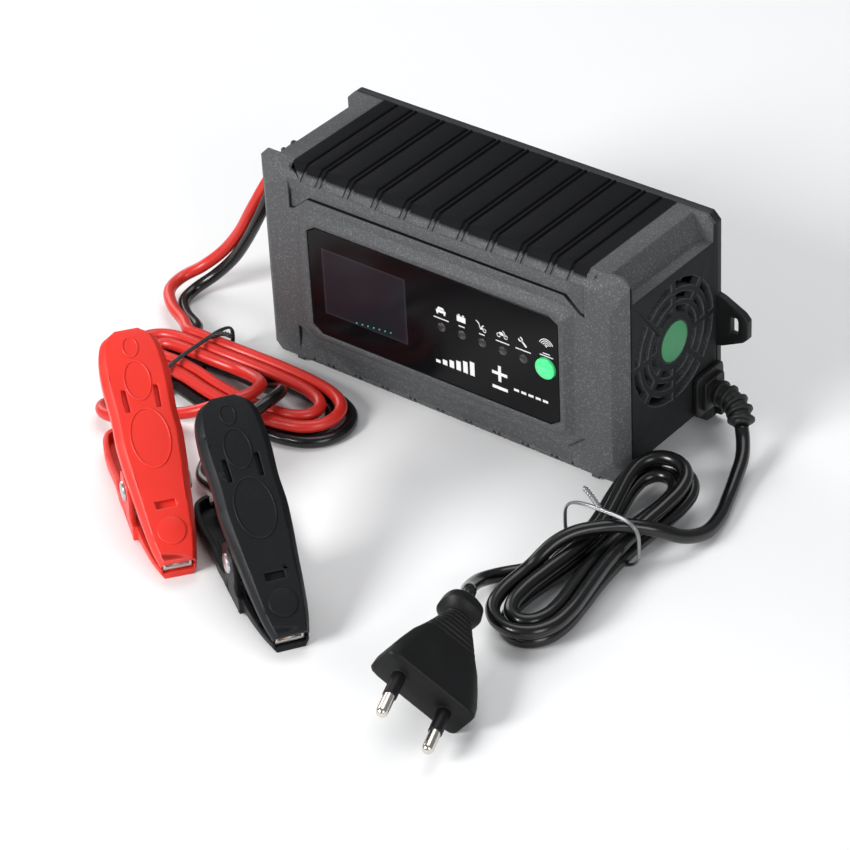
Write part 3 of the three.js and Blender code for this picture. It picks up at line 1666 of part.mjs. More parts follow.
const blackLastRoute = [
  extended(blackCoil, true, joint),
  extended(blackCoil, true, joint + outputDiameter),
  [-62.6, -50.8, 3],
  [-55.2, -53, 6.4],
  [-49.4, -57.4, 10.4],
  [-46.4, -63.4, 12.7],
  [-46.4, -70.6, 12.8],
  [-48, -77.6, 11],
  [-50, -85.4, 7.4],
  [-50.6, -93.4, 4.6],
  [-48.4, -101.2, 3.6],
  [-43.4, -107.6, 4.4],
  inClamp(blackClamp, bootRear - joint - outputDiameter, bootHeight),
  inClamp(blackClamp, bootRear - joint, bootHeight),
];

const leads = [
  ["red", redCoil, redFirstRoute, redLastRoute, leadRed],
  ["black", blackCoil, blackFirstRoute, blackLastRoute, leadBlack],
];
for (const [colour, coil, firstRoute, lastRoute, surface] of leads) {
  place(`${colour}_lead_first`, tube(firstRoute, outputDiameter, 8, 18), surface);
  place(`${colour}_lead_coil`, sweep(coil, () => outputRadius, 6), surface);
  place(`${colour}_lead_last`, tube(lastRoute, outputDiameter, 8, 16), surface);
}

const leadTieCentre = new THREE.Vector2(coilCentre.x + coilPinchPlace, coilCentre.y + 1.9);
place(
  "lead_tie",
  tieRing(leadTieCentre, new THREE.Vector2(0, 1), leadTieHalfWidth, leadTieTop, [
    [leadTieCentre.x, leadTieCentre.y + 8, leadTieTop - 0.3],
    [leadTieCentre.x + 4, leadTieCentre.y + 11, leadTieTop + 1.2],
    [leadTieCentre.x + 8, leadTieCentre.y + 11, leadTieTop + 1.6],
  ]),
  leadBlack,
);

const gaps = [
  ["the hank to itself", leastGap(hankPoints, hankPoints, mainsDiameter)],
  ["the red coil to itself", leastGap(redCoil, redCoil, outputDiameter)],
  ["the black coil to itself", leastGap(blackCoil, blackCoil, outputDiameter)],
  ["the red coil to the black one", leastGap(redCoil, blackCoil, outputDiameter)],
];
for (const [name, gap] of gaps) console.log(`least gap of ${name}: ${gap.toFixed(2)} mm`);

// The shared frame has its origin under the middle of the housing, ears included.
charger.position.y = -(buttonFrontY + backY) / 2;

export default charger;
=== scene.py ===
# %% [markdown]
# # A car battery charger, dressed in Blender
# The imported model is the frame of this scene. It fixes where every piece is and what
# turns on what. The pieces made here stand where the model's own pieces stand, with the
# rounded edges, grain, prints and fine parts that a camera would see.

import json
import math

import bmesh
import bpy
from mathutils import Matrix, Vector


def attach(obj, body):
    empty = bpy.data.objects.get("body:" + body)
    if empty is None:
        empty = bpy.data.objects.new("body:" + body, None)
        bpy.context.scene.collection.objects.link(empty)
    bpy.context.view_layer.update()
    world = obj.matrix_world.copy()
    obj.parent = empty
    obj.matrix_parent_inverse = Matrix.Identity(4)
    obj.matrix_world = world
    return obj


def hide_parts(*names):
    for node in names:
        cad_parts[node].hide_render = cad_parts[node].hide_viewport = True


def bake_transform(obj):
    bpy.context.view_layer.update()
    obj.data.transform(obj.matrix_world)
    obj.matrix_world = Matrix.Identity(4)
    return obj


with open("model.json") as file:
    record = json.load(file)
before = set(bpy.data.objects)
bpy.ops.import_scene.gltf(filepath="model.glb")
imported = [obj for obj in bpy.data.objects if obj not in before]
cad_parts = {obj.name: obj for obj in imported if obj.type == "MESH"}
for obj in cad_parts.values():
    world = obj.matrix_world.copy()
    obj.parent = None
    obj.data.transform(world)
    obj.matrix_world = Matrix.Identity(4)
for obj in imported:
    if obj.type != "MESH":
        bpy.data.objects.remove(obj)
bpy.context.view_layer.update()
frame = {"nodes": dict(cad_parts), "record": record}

# %% [markdown]
# The sizes below are in millimetres, in the housing's own measure: x runs along it
# towards the fan, the display looks out at -y, and z is up from the table. The frame
# has the same axes, with y moved a little so that the housing stands on its middle.

# %% Millimetres to the frame
MM = 0.001
MIDDLE_SHIFT = 1.35


def at(point):
    x, y, z = point
    return Vector((x, y + MIDDLE_SHIFT, z)) * MM


def smoothstep(value, low, high):
    t = min(1.0, max(0.0, (value - low) / (high - low)))
    return t * t * (3 - 2 * t)


def mesh_of(name, points, faces=()):
    mesh = bpy.data.meshes.new(name)
    mesh.from_pydata(points, [], faces)
    return mesh


def placed(name, data):
    """A new object with this data, in the scene."""
    made = bpy.data.objects.new(name, data)
    bpy.context.scene.collection.objects.link(made)
    return made


print("one unit is", 1 / MM, "millimetres")

# %% [markdown]
# Node trees are written from their inputs to their output. A value given to a node is set
# on its socket or, where it is another node's output, linked to it.

# %% Helpers for nodes
def fill(target, values):
    for key, value in values.items():
        if isinstance(value, bpy.types.NodeSocket):
            target.id_data.links.new(value, target.inputs[key])
        else:
            target.inputs[key].default_value = value
    return target


def node(tree, kind, values=None, **settings):
    made = tree.nodes.new(kind)
    for key, value in settings.items():
        setattr(made, key, value)
    return fill(made, values or {})


def maths(tree, operation, *values):
    return node(tree, "ShaderNodeMath", dict(enumerate(values)), operation=operation).outputs[0]


def ranged(tree, value, low, high, to_low=0.0, to_high=1.0):
    """The value carried from one range to another, and kept inside it."""
    limits = {"From Min": low, "From Max": high, "To Min": to_low, "To Max": to_high}
    return node(tree, "ShaderNodeMapRange", {"Value": value, **limits}).outputs[0]


def mixed(tree, share, first, second):
    """Two colours mixed, with a share of the second."""
    return node(
        tree, "ShaderNodeMix", {"Factor": share, "A": first, "B": second}, data_type="RGBA"
    ).outputs["Result"]


def in_axes(tree, vector):
    return node(tree, "ShaderNodeSeparateXYZ", {0: vector}).outputs


def new_group(name, kind, inputs, outputs):
    """A node group with its sockets, given as (title, kind, value), and what its input node gives."""
    group = bpy.data.node_groups.new(name, kind)
    for way, rows in (("INPUT", inputs), ("OUTPUT", outputs)):
        for title, socket_kind, *value in rows:
            made = group.interface.new_socket(
                name=title, in_out=way, socket_type="NodeSocket" + socket_kind
            )
            if value:
                made.default_value = value[0]
    return group, node(group, "NodeGroupInput").outputs


print("helpers:", [helper.__name__ for helper in (fill, node, maths, ranged, mixed, in_axes, new_group)])

# %% [markdown]
# The camera is solved from the photograph: long lens, looking down from the front right,
# with a slight roll. Its three axes are worked out from those angles.

# %% Camera
CAMERA_AZIMUTH = math.radians(39.88)
CAMERA_ELEVATION = math.radians(34.57)
CAMERA_ROLL = math.radians(-3.19)
CAMERA_DISTANCE = 1255.1
SOLVE_UNIT = 0.8889  # millimetres in one unit of the camera's solution
CAMERA_ASIDE = -27.479 * SOLVE_UNIT
CAMERA_ABOVE = -15.217 * SOLVE_UNIT
CAMERA_LENS = 147.76


def make_camera():
    sa, ca = math.sin(CAMERA_AZIMUTH), math.cos(CAMERA_AZIMUTH)
    se, ce = math.sin(CAMERA_ELEVATION), math.cos(CAMERA_ELEVATION)
    back = Vector((sa * ce, -ca * ce, se))
    right = Vector((ca, sa, 0))
    up = back.cross(right)
    place = right * CAMERA_ASIDE + up * CAMERA_ABOVE + back * CAMERA_DISTANCE
    cr, sr = math.cos(CAMERA_ROLL), math.sin(CAMERA_ROLL)
    right, up = right * cr + up * sr, up * cr - right * sr
    data = bpy.data.cameras.new("camera")
    data.lens = CAMERA_LENS
    data.sensor_width = 36
    data.clip_start, data.clip_end = 0.05, 20
    camera = placed("camera", data)
    turn = Matrix((right, up, back)).transposed().to_4x4()
    camera.matrix_world = Matrix.Translation(at(place)) @ turn
    bpy.context.scene.camera = camera
    return camera


camera = make_camera()
print("camera stands at", [round(v, 3) for v in camera.matrix_world.translation])

# %% [markdown]
# ## Light and floor
# A plain studio: a pale floor, one large soft lamp over the front left corner as the key,
# and weaker ones to the right, above and behind. The sky shows white to the camera through
# Light Path, so no extra light falls on the object for that.

# %% Soft studio light
def area_lamp(name, place, aim, size, power):
    data = bpy.data.lights.new(name, "AREA")
    data.shape = "DISK"
    data.size = size
    data.energy = power
    turn = (Vector(aim) - Vector(place)).to_track_quat("-Z", "Y")
    lamp = placed(name, data)
    lamp.matrix_world = Matrix.Translation(Vector(place)) @ turn.to_matrix().to_4x4()


HOUSING_FRONT = (0, -0.03, 0.03)
area_lamp("key_lamp", (-0.35, -1.25, 0.75), HOUSING_FRONT, 0.55, 19)
area_lamp("right_lamp", (1.5, -0.75, 0.8), HOUSING_FRONT, 0.9, 9)
area_lamp("top_lamp", (-0.2, 0.5, 1.5), (0, 0, 0.03), 1.2, 9)
area_lamp("left_lamp", (-1.4, 0.4, 0.7), HOUSING_FRONT, 0.9, 6)

world = bpy.data.worlds.new("studio")
bpy.context.scene.world = world
world.use_nodes = True
sky = world.node_tree
sky.nodes.clear()
sky_mix = node(sky, "ShaderNodeMixShader", {
    0: node(sky, "ShaderNodeLightPath").outputs["Is Camera Ray"],
    1: node(sky, "ShaderNodeBackground", {"Color": (0.78, 0.8, 0.84, 1), "Strength": 0.32}).outputs[0],
    2: node(sky, "ShaderNodeBackground", {"Color": (1, 1, 1, 1)}).outputs[0],
})
node(sky, "ShaderNodeOutputWorld", {0: sky_mix.outputs[0]})
bpy.context.scene.view_settings.view_transform = "Standard"

reach = 4.0
corners = [(-reach, -reach, 0), (reach, -reach, 0), (reach, reach, 0), (-reach, reach, 0)]
floor = placed("floor", mesh_of("floor", corners, [(0, 1, 2, 3)]))
paper = bpy.data.materials.new("pale_paper")
paper.use_nodes = True
fill(paper.node_tree.nodes["Principled BSDF"], {
    "Base Color": (0.9, 0.9, 0.9, 1), "Roughness": 0.9, "Specular IOR Level": 0.1,
})
floor.data.materials.append(paper)

# %% [markdown]
# ## Making round lines and tubes
# The leads follow smooth lines through a few points. The line here is the centripetal
# Catmull-Rom curve, which never swings wide between two close points. A tube is swept
# along it with a frame that turns as little as possible, so the lead doesn't twist.

# %% Smooth lines
def hermite(t, start, start_slope, end, end_slope):
    return (
        start * (2 * t**3 - 3 * t**2 + 1) + start_slope * (t**3 - 2 * t**2 + t)
        + end * (3 * t**2 - 2 * t**3) + end_slope * (t**3 - t**2)
    )


def smooth_line(points, spacing):
    pts = [Vector(p) for p in points]
    fine = []
    for i in range(len(pts) - 1):
        p1, p2 = pts[i], pts[i + 1]
        p0 = pts[i - 1] if i else p1 * 2 - p2
        p3 = pts[i + 2] if i + 2 < len(pts) else p2 * 2 - p1
        d0, d1, d2 = ((b - a).length_squared ** 0.25 for a, b in ((p0, p1), (p1, p2), (p2, p3)))
        t1 = ((p1 - p0) / d0 - (p2 - p0) / (d0 + d1) + (p2 - p1) / d1) * d1
        t2 = ((p2 - p1) / d1 - (p3 - p1) / (d1 + d2) + (p3 - p2) / d2) * d1
        steps = max(4, int((p2 - p1).length / spacing * 3))
        fine += [hermite(s / steps, p1, t1, p2, t2) for s in range(steps)]
    return fine + [pts[-1]]


def run_length(line):
    return sum((b - a).length for a, b in zip(line, line[1:]))


def evenly(line, spacing):
    total = run_length(line)
    count = max(2, round(total / spacing))
    marks, walked, i = [line[0]], 0.0, 0
    for k in range(1, count):
        goal = total * k / count
        while walked + (line[i + 1] - line[i]).length < goal:
            walked += (line[i + 1] - line[i]).length
            i += 1
        step = (line[i + 1] - line[i]).length
        marks.append(line[i].lerp(line[i + 1], (goal - walked) / step))
    return marks + [line[-1]]


def frames_along(line, closed=False, first=(0, 0, 1)):
    """At each point of a line: its tangent and two directions across it."""
    count = len(line)
    tangents = []
    for i in range(count):
        a = line[i - 1] if i or closed else line[0]
        b = line[(i + 1) % count] if i < count - 1 or closed else line[-1]
        tangents.append((b - a).normalized())
    across = Vector(first)
    if abs(across.dot(tangents[0])) > 0.9:
        across = Vector((1, 0, 0))
    found = []
    for tangent in tangents:
        across = (across - tangent * across.dot(tangent)).normalized()
        found.append((tangent, across, tangent.cross(across)))
    return found


quarter = smooth_line([(10, 0, 0), (7.07, 7.07, 0), (0, 10, 0)], 1)
print("a quarter turn of 10 mm is", round(run_length(quarter), 2), "mm long")

# %% Pieces and tubes
def make_piece(name, shape, look, angle=None):
    """A smooth piece from a shape in mm: its points and faces."""
    points, faces = shape
    mesh = mesh_of(name, [at(p) for p in points], faces)
    mesh.validate()
    mesh.shade_smooth()
    if angle is not None:
        mesh.set_sharp_from_angle(angle=math.radians(angle))
    mesh.materials.append(look)
    return placed(name, mesh)


def belongs(piece, body="root", replaced=()):
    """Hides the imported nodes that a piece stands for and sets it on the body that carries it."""
    if replaced:
        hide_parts(*replaced)
    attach(piece, body)
    return piece


def walls(rings, sides, closed=False):
    """The faces between rings of points that follow each other."""
    faces = []
    for i in range(rings if closed else rings - 1):
        j = (i + 1) % rings
        for s in range(sides):
            t = (s + 1) % sides
            faces.append((i * sides + s, i * sides + t, j * sides + t, j * sides + s))
    return faces


def sweep(line, radius_at, sides=20, closed=False, first=(0, 0, 1), section=None):
    """A tube along a line, round or with the given section."""
    points = []
    for i, (centre, (_, across, beside)) in enumerate(zip(line, frames_along(line, closed, first))):
        for s in range(sides):
            a = 2 * math.pi * s / sides
            r = radius_at(i) * (section(i, a) if section else 1)
            points.append(centre + across * (r * math.cos(a)) + beside * (r * math.sin(a)))
    faces = walls(len(line), sides, closed)
    if not closed:
        faces.append(tuple(range(sides))[::-1])
        faces.append(tuple((len(line) - 1) * sides + s for s in range(sides)))
    return points, faces


def joined(*shapes):
    points, faces = [], []
    for p, f in shapes:
        base = len(points)
        points += [Vector(v) for v in p]
        faces += [tuple(base + i for i in face) for face in f]
    return points, faces


def turned(shape, matrix):
    points, faces = shape
    return [matrix @ Vector(p) for p in points], faces


def moved(shape, offset):
    points, faces = shape
    return [p + Vector(offset) for p in points], faces


print("a tube of two rings with 20 sides has", len(walls(2, 20)), "walls")

# %% [markdown]
# ## The leads
# The mains lead is a 5 mm round two-core lead. It leaves the boot by the fan, runs along
# the table into three turns of a hank, and ends in its plug. The red and black output
# leads leave the other end side by side, go round a loose coil and end in the clamps.
# Every stretch shows in the photograph, so each length is what the drawn route measures.
# They come first, because their lengths are tested against the camera's view.

# %% Where the leads leave the housing
HALF_WIDTH = 80
MAINS_GLAND = (1, 19.2, 18)
OUTPUT_GLAND = (-1, 14, 62.5)
JOINT = 0.4


def relief_route(gland, steps):
    side, y, z = gland
    return [Vector((side * (HALF_WIDTH + out), y + beside, z + above)) for out, beside, above in steps]


mains_relief = relief_route(
    MAINS_GLAND, [(2, 0, 0), (7, 0, 0), (12.5, -0.6, -1), (16.4, -2.6, -3.2), (18.8, -5.4, -5.6)]
)
output_relief = relief_route(
    OUTPUT_GLAND, [(2, 0, 0), (7, -0.4, 0.1), (12.4, -2.8, -1.3), (15.8, -6.2, -4.3), (17.6, -9.6, -7.9)]
)


def past_relief(route, distance, aside=0):
    line = smooth_line(route, 0.2)
    tangent = (line[-1] - line[-2]).normalized()
    across = Vector((-tangent.y, tangent.x, 0)).normalized()
    return line[-1] + tangent * distance + across * aside


def extended(points, from_end, distance):
    end, near = (points[-1], points[-2]) if from_end else (points[0], points[1])
    return end + (end - near).normalized() * distance


print("the mains boot ends at", [round(v, 1) for v in mains_relief[-1]])

# %% The hank of the mains lead
MAINS_DIAMETER = 5
LOW_LAYER = MAINS_DIAMETER / 2 + 0.1
LAYER_STEP = 5.6
HANK_CENTRE = Vector((95.4, -62.4))
HANK_AXIS = Vector((0.05, -1)).normalized()
HANK_TURNS = 3
TURN_POINTS = 24


def hank_point(turn):
    middle = HANK_TURNS / 2
    level = LAYER_STEP * abs(turn - middle)
    angle = 2 * math.pi * turn
    waist, lobe = 1.6 + level, 5.4 + level
    broad = (waist + math.sqrt(2) * lobe) / 2
    pinch = (math.sqrt(2) * lobe - waist) / 2
    half = 49.5 if math.sin(angle) > 0 else 37.5
    along = (half + level) * math.sin(angle)
    across = broad * math.cos(angle) - pinch * math.cos(3 * angle)
    fall = smoothstep(turn, middle - 0.25, middle + 0.25)
    z = LOW_LAYER + LAYER_STEP * (1 - fall) + 1.3 * math.cos(angle) ** 2
    z += 8 * max(0, -math.sin(angle)) ** 1.5
    return Vector((
        HANK_CENTRE.x + HANK_AXIS.x * along + HANK_AXIS.y * across,
        HANK_CENTRE.y + HANK_AXIS.y * along - HANK_AXIS.x * across,
        z,
    ))


def run_of(point_at, start, end):
    count = round((end - start) * TURN_POINTS)
    return [point_at(start + (end - start) * i / count) for i in range(count + 1)]


hank = run_of(hank_point, 0.09, 3.03)
print("the hank has", len(hank), "points")

# %% The plug's place
PLUG_FACE = Vector((100.6, -167.4, 14.9))
PLUG_REAR = 46
PLUG_TURN = (
    Matrix.Rotation(math.radians(-69.4), 4, "Z")
    @ Matrix.Rotation(math.radians(2.5), 4, "Y")
    @ Matrix.Rotation(math.radians(-41), 4, "X")
)
PLUG_PLACE = Matrix.Translation(PLUG_FACE) @ PLUG_TURN


def behind_plug(distance):
    return PLUG_PLACE @ Vector((-PLUG_REAR - distance, 0, 0))


mains_route = [
    past_relief(mains_relief, JOINT),
    past_relief(mains_relief, JOINT + MAINS_DIAMETER),
    (105.4, 4.4, 7), (108.6, -4.4, 4.6), (112, -14, 3.1), (115.4, -24, 2.8), (117, -35, 3.8),
    (115, -45.4, 7.6), (109.8, -53, 12.8), (102.6, -59.4, 15.4), (95.8, -65.8, 15.7),
    (90.2, -72.4, 15.2), (86.6, -79, 13.2),
    extended(hank, False, JOINT + MAINS_DIAMETER),
    *hank,
    extended(hank, True, JOINT + MAINS_DIAMETER),
    (78.6, -85.6, 2.8), (73.6, -92.6, 3.2), (72.4, -100.6, 5.6), (74.8, -108.2, 9.2),
    (78.4, -114.8, 13),
    behind_plug(JOINT + MAINS_DIAMETER),
    behind_plug(JOINT - 2.4),
]
ROUTE_STEP = 1.5
mains_line = evenly(smooth_line(mains_route, ROUTE_STEP), ROUTE_STEP)
print("the mains lead is", round(run_length(mains_line)), "mm long")

# %% The coil of the output leads
OUTPUT_DIAMETER = 4.5
PAIR_HALF = OUTPUT_DIAMETER / 2 + 0.3
COIL_CENTRE = (-74, -57)
COIL_START, COIL_END = 0.17, 2.25


def coil_point(turn, inset, height):
    level = 8 * (turn - COIL_START) + inset
    angle = 2 * math.pi * (0.5 - turn)
    x = (54 - level) * (math.cos(angle) - 0.03 * math.cos(3 * angle)) / 0.97
    near_tie = math.exp(-(((x + 18) / 18) ** 2))
    half = 20.5 - 0.7 * level - 3 * near_tie
    y = half * (math.sin(angle) + 0.1 * math.sin(3 * angle))
    return Vector((COIL_CENTRE[0] + x, COIL_CENTRE[1] + y, height + 1.6 * near_tie))


red_coil = run_of(lambda t: coil_point(t, 3.8, 6.6), COIL_START, COIL_END)
black_coil = run_of(lambda t: coil_point(t, 0, 2.3), COIL_START, COIL_END)

CLAMP_SIZE = 1.1
BOOT_HEIGHT = 6.2
CLAMP_REAR = -77


def clamp_place(tip, yaw):
    """The clamp's frame: x = 0 at its tip, its rear at CLAMP_REAR, and z = 0 under its lower handle."""
    turn = Matrix.Rotation(math.radians(yaw), 4, "Z")
    return Matrix.Translation((*tip, 0)) @ turn @ Matrix.Scale(CLAMP_SIZE, 4)


RED_CLAMP = clamp_place((-16.6, -150.8), -37)
BLACK_CLAMP = clamp_place((39.9, -159.6), -33.3)


def output_line(aside, to_coil, coil, to_clamp, clamp):
    """One output lead: from the relief to the coil, round it, and on into the clamp's boot."""
    start = [past_relief(output_relief, JOINT + out, aside) for out in (0, OUTPUT_DIAMETER)]
    end = [clamp @ Vector((x, 0, BOOT_HEIGHT)) for x in (-76.9, -71)]
    into_coil = extended(coil, False, JOINT + OUTPUT_DIAMETER)
    route = [*start, *to_coil, into_coil, *coil, *to_clamp, *end]
    return evenly(smooth_line(route, ROUTE_STEP), ROUTE_STEP)


red_line = output_line(
    -PAIR_HALF,
    [
        (-107.6, -2.4, 38), (-113.6, -3.4, 27), (-120.4, -5.6, 17.6), (-128, -9.6, 10.2),
        (-133, -16.4, 7), (-131.4, -25, 6.6), (-123, -33, 6.6), (-112.4, -38.6, 6.8),
    ],
    red_coil,
    [
        (-60.6, -56.6, 10), (-55.4, -62, 12.2), (-55.4, -69, 12.6), (-60, -76.4, 11.8),
        (-68.6, -81.8, 8), (-79, -84, 4.2), (-90, -84.4, 2.6), (-99.6, -86.4, 3), (-103, -93, 4),
        (-98.6, -98.2, 5.4),
    ],
    RED_CLAMP,
)
black_line = output_line(
    PAIR_HALF,
    [
        (-103, -3.6, 37), (-109, -4.4, 26), (-115.4, -5.8, 16), (-122.4, -9.4, 8),
        (-127.4, -15.6, 3.4), (-126.6, -23, 2.4), (-119.8, -29.4, 2.4), (-110, -34.4, 2.6),
    ],
    black_coil,
    [
        (-62.6, -50.8, 3), (-55.2, -53, 6.4), (-49.4, -57.4, 10.4), (-46.4, -63.4, 12.7),
        (-46.4, -70.6, 12.8), (-48, -77.6, 11), (-50, -85.4, 7.4), (-50.6, -93.4, 4.6),
        (-48.4, -101.2, 3.6), (-43.4, -107.6, 4.4),
    ],
    BLACK_CLAMP,
)
print("the output leads are", round(run_length(red_line)), "and", round(run_length(black_line)), "mm long")

# %% [markdown]
# ## Finishes
# Nearly everything here is moulded plastic, so one group makes the grain of a spark-eroded
# mould: a fine cell pattern with a soft larger unevenness, and a sparse sparkle, which is
# random cells painted paler as glints of light. A second group finds the outer edges of a
# piece by comparing its normal with a rounded one; there a highlight is painted paler. Both
# groups are placed in each material with that material's own values.

# %% Grain group
g, given = new_group(
    "moulded_grain", "ShaderNodeTree",
    [("Cells per metre", "Float", 2600.0), ("Unevenness", "Float", 0.3), ("Sparkle", "Float", 0.5)],
    [("Height", "Float"), ("Sparkle mask", "Float"), ("Mottle", "Float")],
)
grain_group = g
place = node(g, "ShaderNodeTexCoord").outputs["Object"]
density = given["Cells per metre"]
cells = node(g, "ShaderNodeTexVoronoi", {"Vector": place, "Scale": density}, feature="F1").outputs
noise = node(g, "ShaderNodeTexNoise", {
    "Vector": place, "Scale": maths(g, "MULTIPLY", density, 0.22), "Detail": 3.0, "Roughness": 0.6,
})
patches = node(g, "ShaderNodeTexNoise", {"Vector": place, "Scale": 55.0, "Detail": 4.0, "Roughness": 0.6})
# chance: one random value per cell; the highest cells become painted glints
chance = node(g, "ShaderNodeSeparateColor", {0: cells["Color"]}).outputs[0]
node(g, "NodeGroupOutput", {
    "Height": maths(g, "MULTIPLY_ADD", noise.outputs[0], given["Unevenness"], cells["Distance"]),
    "Sparkle mask": maths(g, "MULTIPLY", ranged(g, chance, 0.78, 0.95), given["Sparkle"]),
    "Mottle": patches.outputs[0],
})
print("the grain group has", len(g.nodes), "nodes")

# %% Edge group
e, given = new_group(
    "rounded_edges", "ShaderNodeTree", [("Radius", "Float", 0.0004)],
    [("Edge mask", "Float"), ("Normal", "Vector")],
)
edge_group = e
rounded = node(e, "ShaderNodeBevel", {"Radius": given["Radius"]}, samples=4).outputs[0]
facing = node(e, "ShaderNodeNewGeometry").outputs["Normal"]
likeness = node(e, "ShaderNodeVectorMath", {0: rounded, 1: facing}, operation="DOT_PRODUCT")
# edges are where the rounded normal differs; the finishes paint them paler as a highlight
edge_highlight_mask = ranged(e, likeness.outputs["Value"], 0.995, 0.85)
node(e, "NodeGroupOutput", {"Edge mask": edge_highlight_mask, "Normal": rounded})
print("the edge group has", len(e.nodes), "nodes")

# %% [markdown]
# A finish is a Principled shader fed by the two groups. The base colour gets a faint
# mottle, the painted glints and the painted edge highlights lift it, and the grain goes into a Bump node. Values
# that are the same all over stay on the shader's own sockets.

# %% Plain and moulded finishes
GRAIN_DEPTH = 0.0001
COAT_ROUGHNESS = 0.08


def finish(
    name, colour, roughness, metallic=0.0, cells=2600.0, bump=0.15, sparkle=0.0,
    edge=0.25, radius=0.0004, mottle=0.12, coat=0.0, specular=0.5,
):
    material = bpy.data.materials.new(name)
    material.use_nodes = True
    tree = material.node_tree
    grain = node(
        tree, "ShaderNodeGroup", {"Cells per metre": cells, "Sparkle": sparkle}, node_tree=grain_group
    ).outputs
    edges = node(tree, "ShaderNodeGroup", {"Radius": radius}, node_tree=edge_group).outputs

    def shade(scale, lift=0.0):
        return (*[min(1, c * scale + lift) for c in colour], 1)

    base = mixed(tree, grain["Mottle"], shade(1 - mottle), shade(1 + mottle))
    # painted highlight: random grain cells lifted to a paler colour as glints
    base = mixed(tree, grain["Sparkle mask"], base, shade(2.6, 0.05))
    # painted highlight: the base colour lifted along the outer edges
    base = mixed(tree, maths(tree, "MULTIPLY", edges["Edge mask"], edge), base, shade(1.7, 0.02))
    rough = ranged(tree, grain["Mottle"], 0, 1, roughness * 0.85, min(1, roughness * 1.15))
    relief = node(tree, "ShaderNodeBump", {
        "Strength": bump, "Distance": GRAIN_DEPTH, "Height": grain["Height"], "Normal": edges["Normal"],
    })
    fill(tree.nodes["Principled BSDF"], {
        "Base Color": base, "Metallic": metallic, "Roughness": rough, "Specular IOR Level": specular,
        "Coat Weight": coat, "Coat Roughness": COAT_ROUGHNESS, "Normal": relief.outputs[0],
    })
    return material


looks = {
    "housing": finish(
        "charcoal_housing", (0.058, 0.061, 0.064), 0.6, bump=0.7, sparkle=0.42, edge=0.45, radius=0.0005
    ),
    "black_plastic": finish(
        "black_moulding", (0.012, 0.0124, 0.0128), 0.5, cells=3200, bump=0.3, edge=0.35, specular=0.35
    ),
    "board": finish("board_green", (0.012, 0.1, 0.032), 0.45, cells=900, bump=0.1),
    "ferrite": finish("ferrite_black", (0.02, 0.02, 0.022), 0.75, cells=1800, bump=0.4),
    "winding_tape": finish("winding_tape", (0.55, 0.36, 0.05), 0.5, cells=700, bump=0.1),
    "aluminium": finish("bare_aluminium", (0.6, 0.61, 0.62), 0.38, metallic=1.0, cells=1500, bump=0.1),
    "capacitor_sleeve": finish("capacitor_sleeve", (0.014, 0.017, 0.03), 0.35, cells=800, bump=0.05, coat=0.3),
    "copper": finish("winding_copper", (0.6, 0.22, 0.09), 0.33, metallic=1.0, cells=1200, bump=0.1),
    "sticker_green": finish("sticker_green", (0.035, 0.27, 0.1), 0.45, cells=1500, bump=0.08, mottle=0.18),
    "steel": finish("bright_steel", (0.58, 0.59, 0.6), 0.3, metallic=1.0, cells=1400, bump=0.12, edge=0.1),
    "lead_black": finish(
        "black_lead", (0.0045, 0.0045, 0.005), 0.26, cells=900, bump=0.05, coat=0.2, edge=0.0, specular=0.4
    ),
    "lead_red": finish("red_lead", (0.62, 0.022, 0.014), 0.36, cells=900, bump=0.06, coat=0.12, edge=0.0),
    "tie_silver": finish("silvery_tie", (0.3, 0.305, 0.31), 0.35, metallic=0.8, cells=1200, bump=0.1, edge=0.0),
    "tie_black": finish("black_tie", (0.012, 0.012, 0.013), 0.4, cells=1200, bump=0.1, edge=0.0),
    "plug_black": finish(
        "plug_black", (0.0065, 0.0067, 0.007), 0.46, cells=3000, bump=0.22, edge=0.3, radius=0.0005, specular=0.22
    ),
    "pin_nickel": finish("pin_nickel", (0.68, 0.64, 0.58), 0.2, metallic=1.0, cells=900, bump=0.06, edge=0.1),
    "clamp_red": finish("clamp_red", (0.74, 0.026, 0.014), 0.4, bump=0.1, mottle=0.06),
    "clamp_black": finish(
        "clamp_black", (0.0075, 0.008, 0.0095), 0.44, cells=2800, bump=0.3, sparkle=0.05, edge=0.5,
        radius=0.0005, specular=0.2,
    ),
    "jaw_steel": finish("jaw_steel", (0.62, 0.61, 0.59), 0.3, metallic=1.0, cells=1600, bump=0.12, edge=0.15),
    "jaw_copper": finish("jaw_copper", (0.66, 0.36, 0.2), 0.32, metallic=1.0, cells=1600, bump=0.12, edge=0.15),
    "lamp_clear": finish("unlit_lamp", (0.02, 0.021, 0.023), 0.2, cells=700, bump=0.03, coat=0.5),
}
print(len(looks), "finishes")

# %% [markdown]
# The display window is one gloss-black sheet. Behind it the switched-off screen shows as
# a slightly lighter, violet-grey rectangle with a paler glass edge. That rectangle is a
# mask on Object coordinates, so it needs no piece of its own. The mode button glows
# green, strongest at its middle.

# %% Window and button finishes
SCREEN = (-29.95, 43.25, 37.5, 27.1)  # its middle in x and z, its width and its height
BUTTON_X, BUTTON_Z = 49.2, 42.6
PANEL_FRONT = -31.45


def distance_group():
    """How far outside a rectangle in x and z a point lies, in metres; negative inside."""
    sizes = ("Centre X", 0.0), ("Centre Z", 0.0), ("Half width", 0.01), ("Half height", 0.01)
    group, given = new_group(
        "rectangle_distance", "ShaderNodeTree",
        [(title, "Float", value) for title, value in sizes], [("Distance", "Float")],
    )
    place = in_axes(group, node(group, "ShaderNodeTexCoord").outputs["Object"])
    past = []
    for axis, centre, half in (("X", "Centre X", "Half width"), ("Z", "Centre Z", "Half height")):
        far = maths(group, "ABSOLUTE", maths(group, "SUBTRACT", place[axis], given[centre]))
        past.append(maths(group, "SUBTRACT", far, given[half]))
    node(group, "NodeGroupOutput", {"Distance": maths(group, "MAXIMUM", *past)})
    return group


rectangle_group = distance_group()


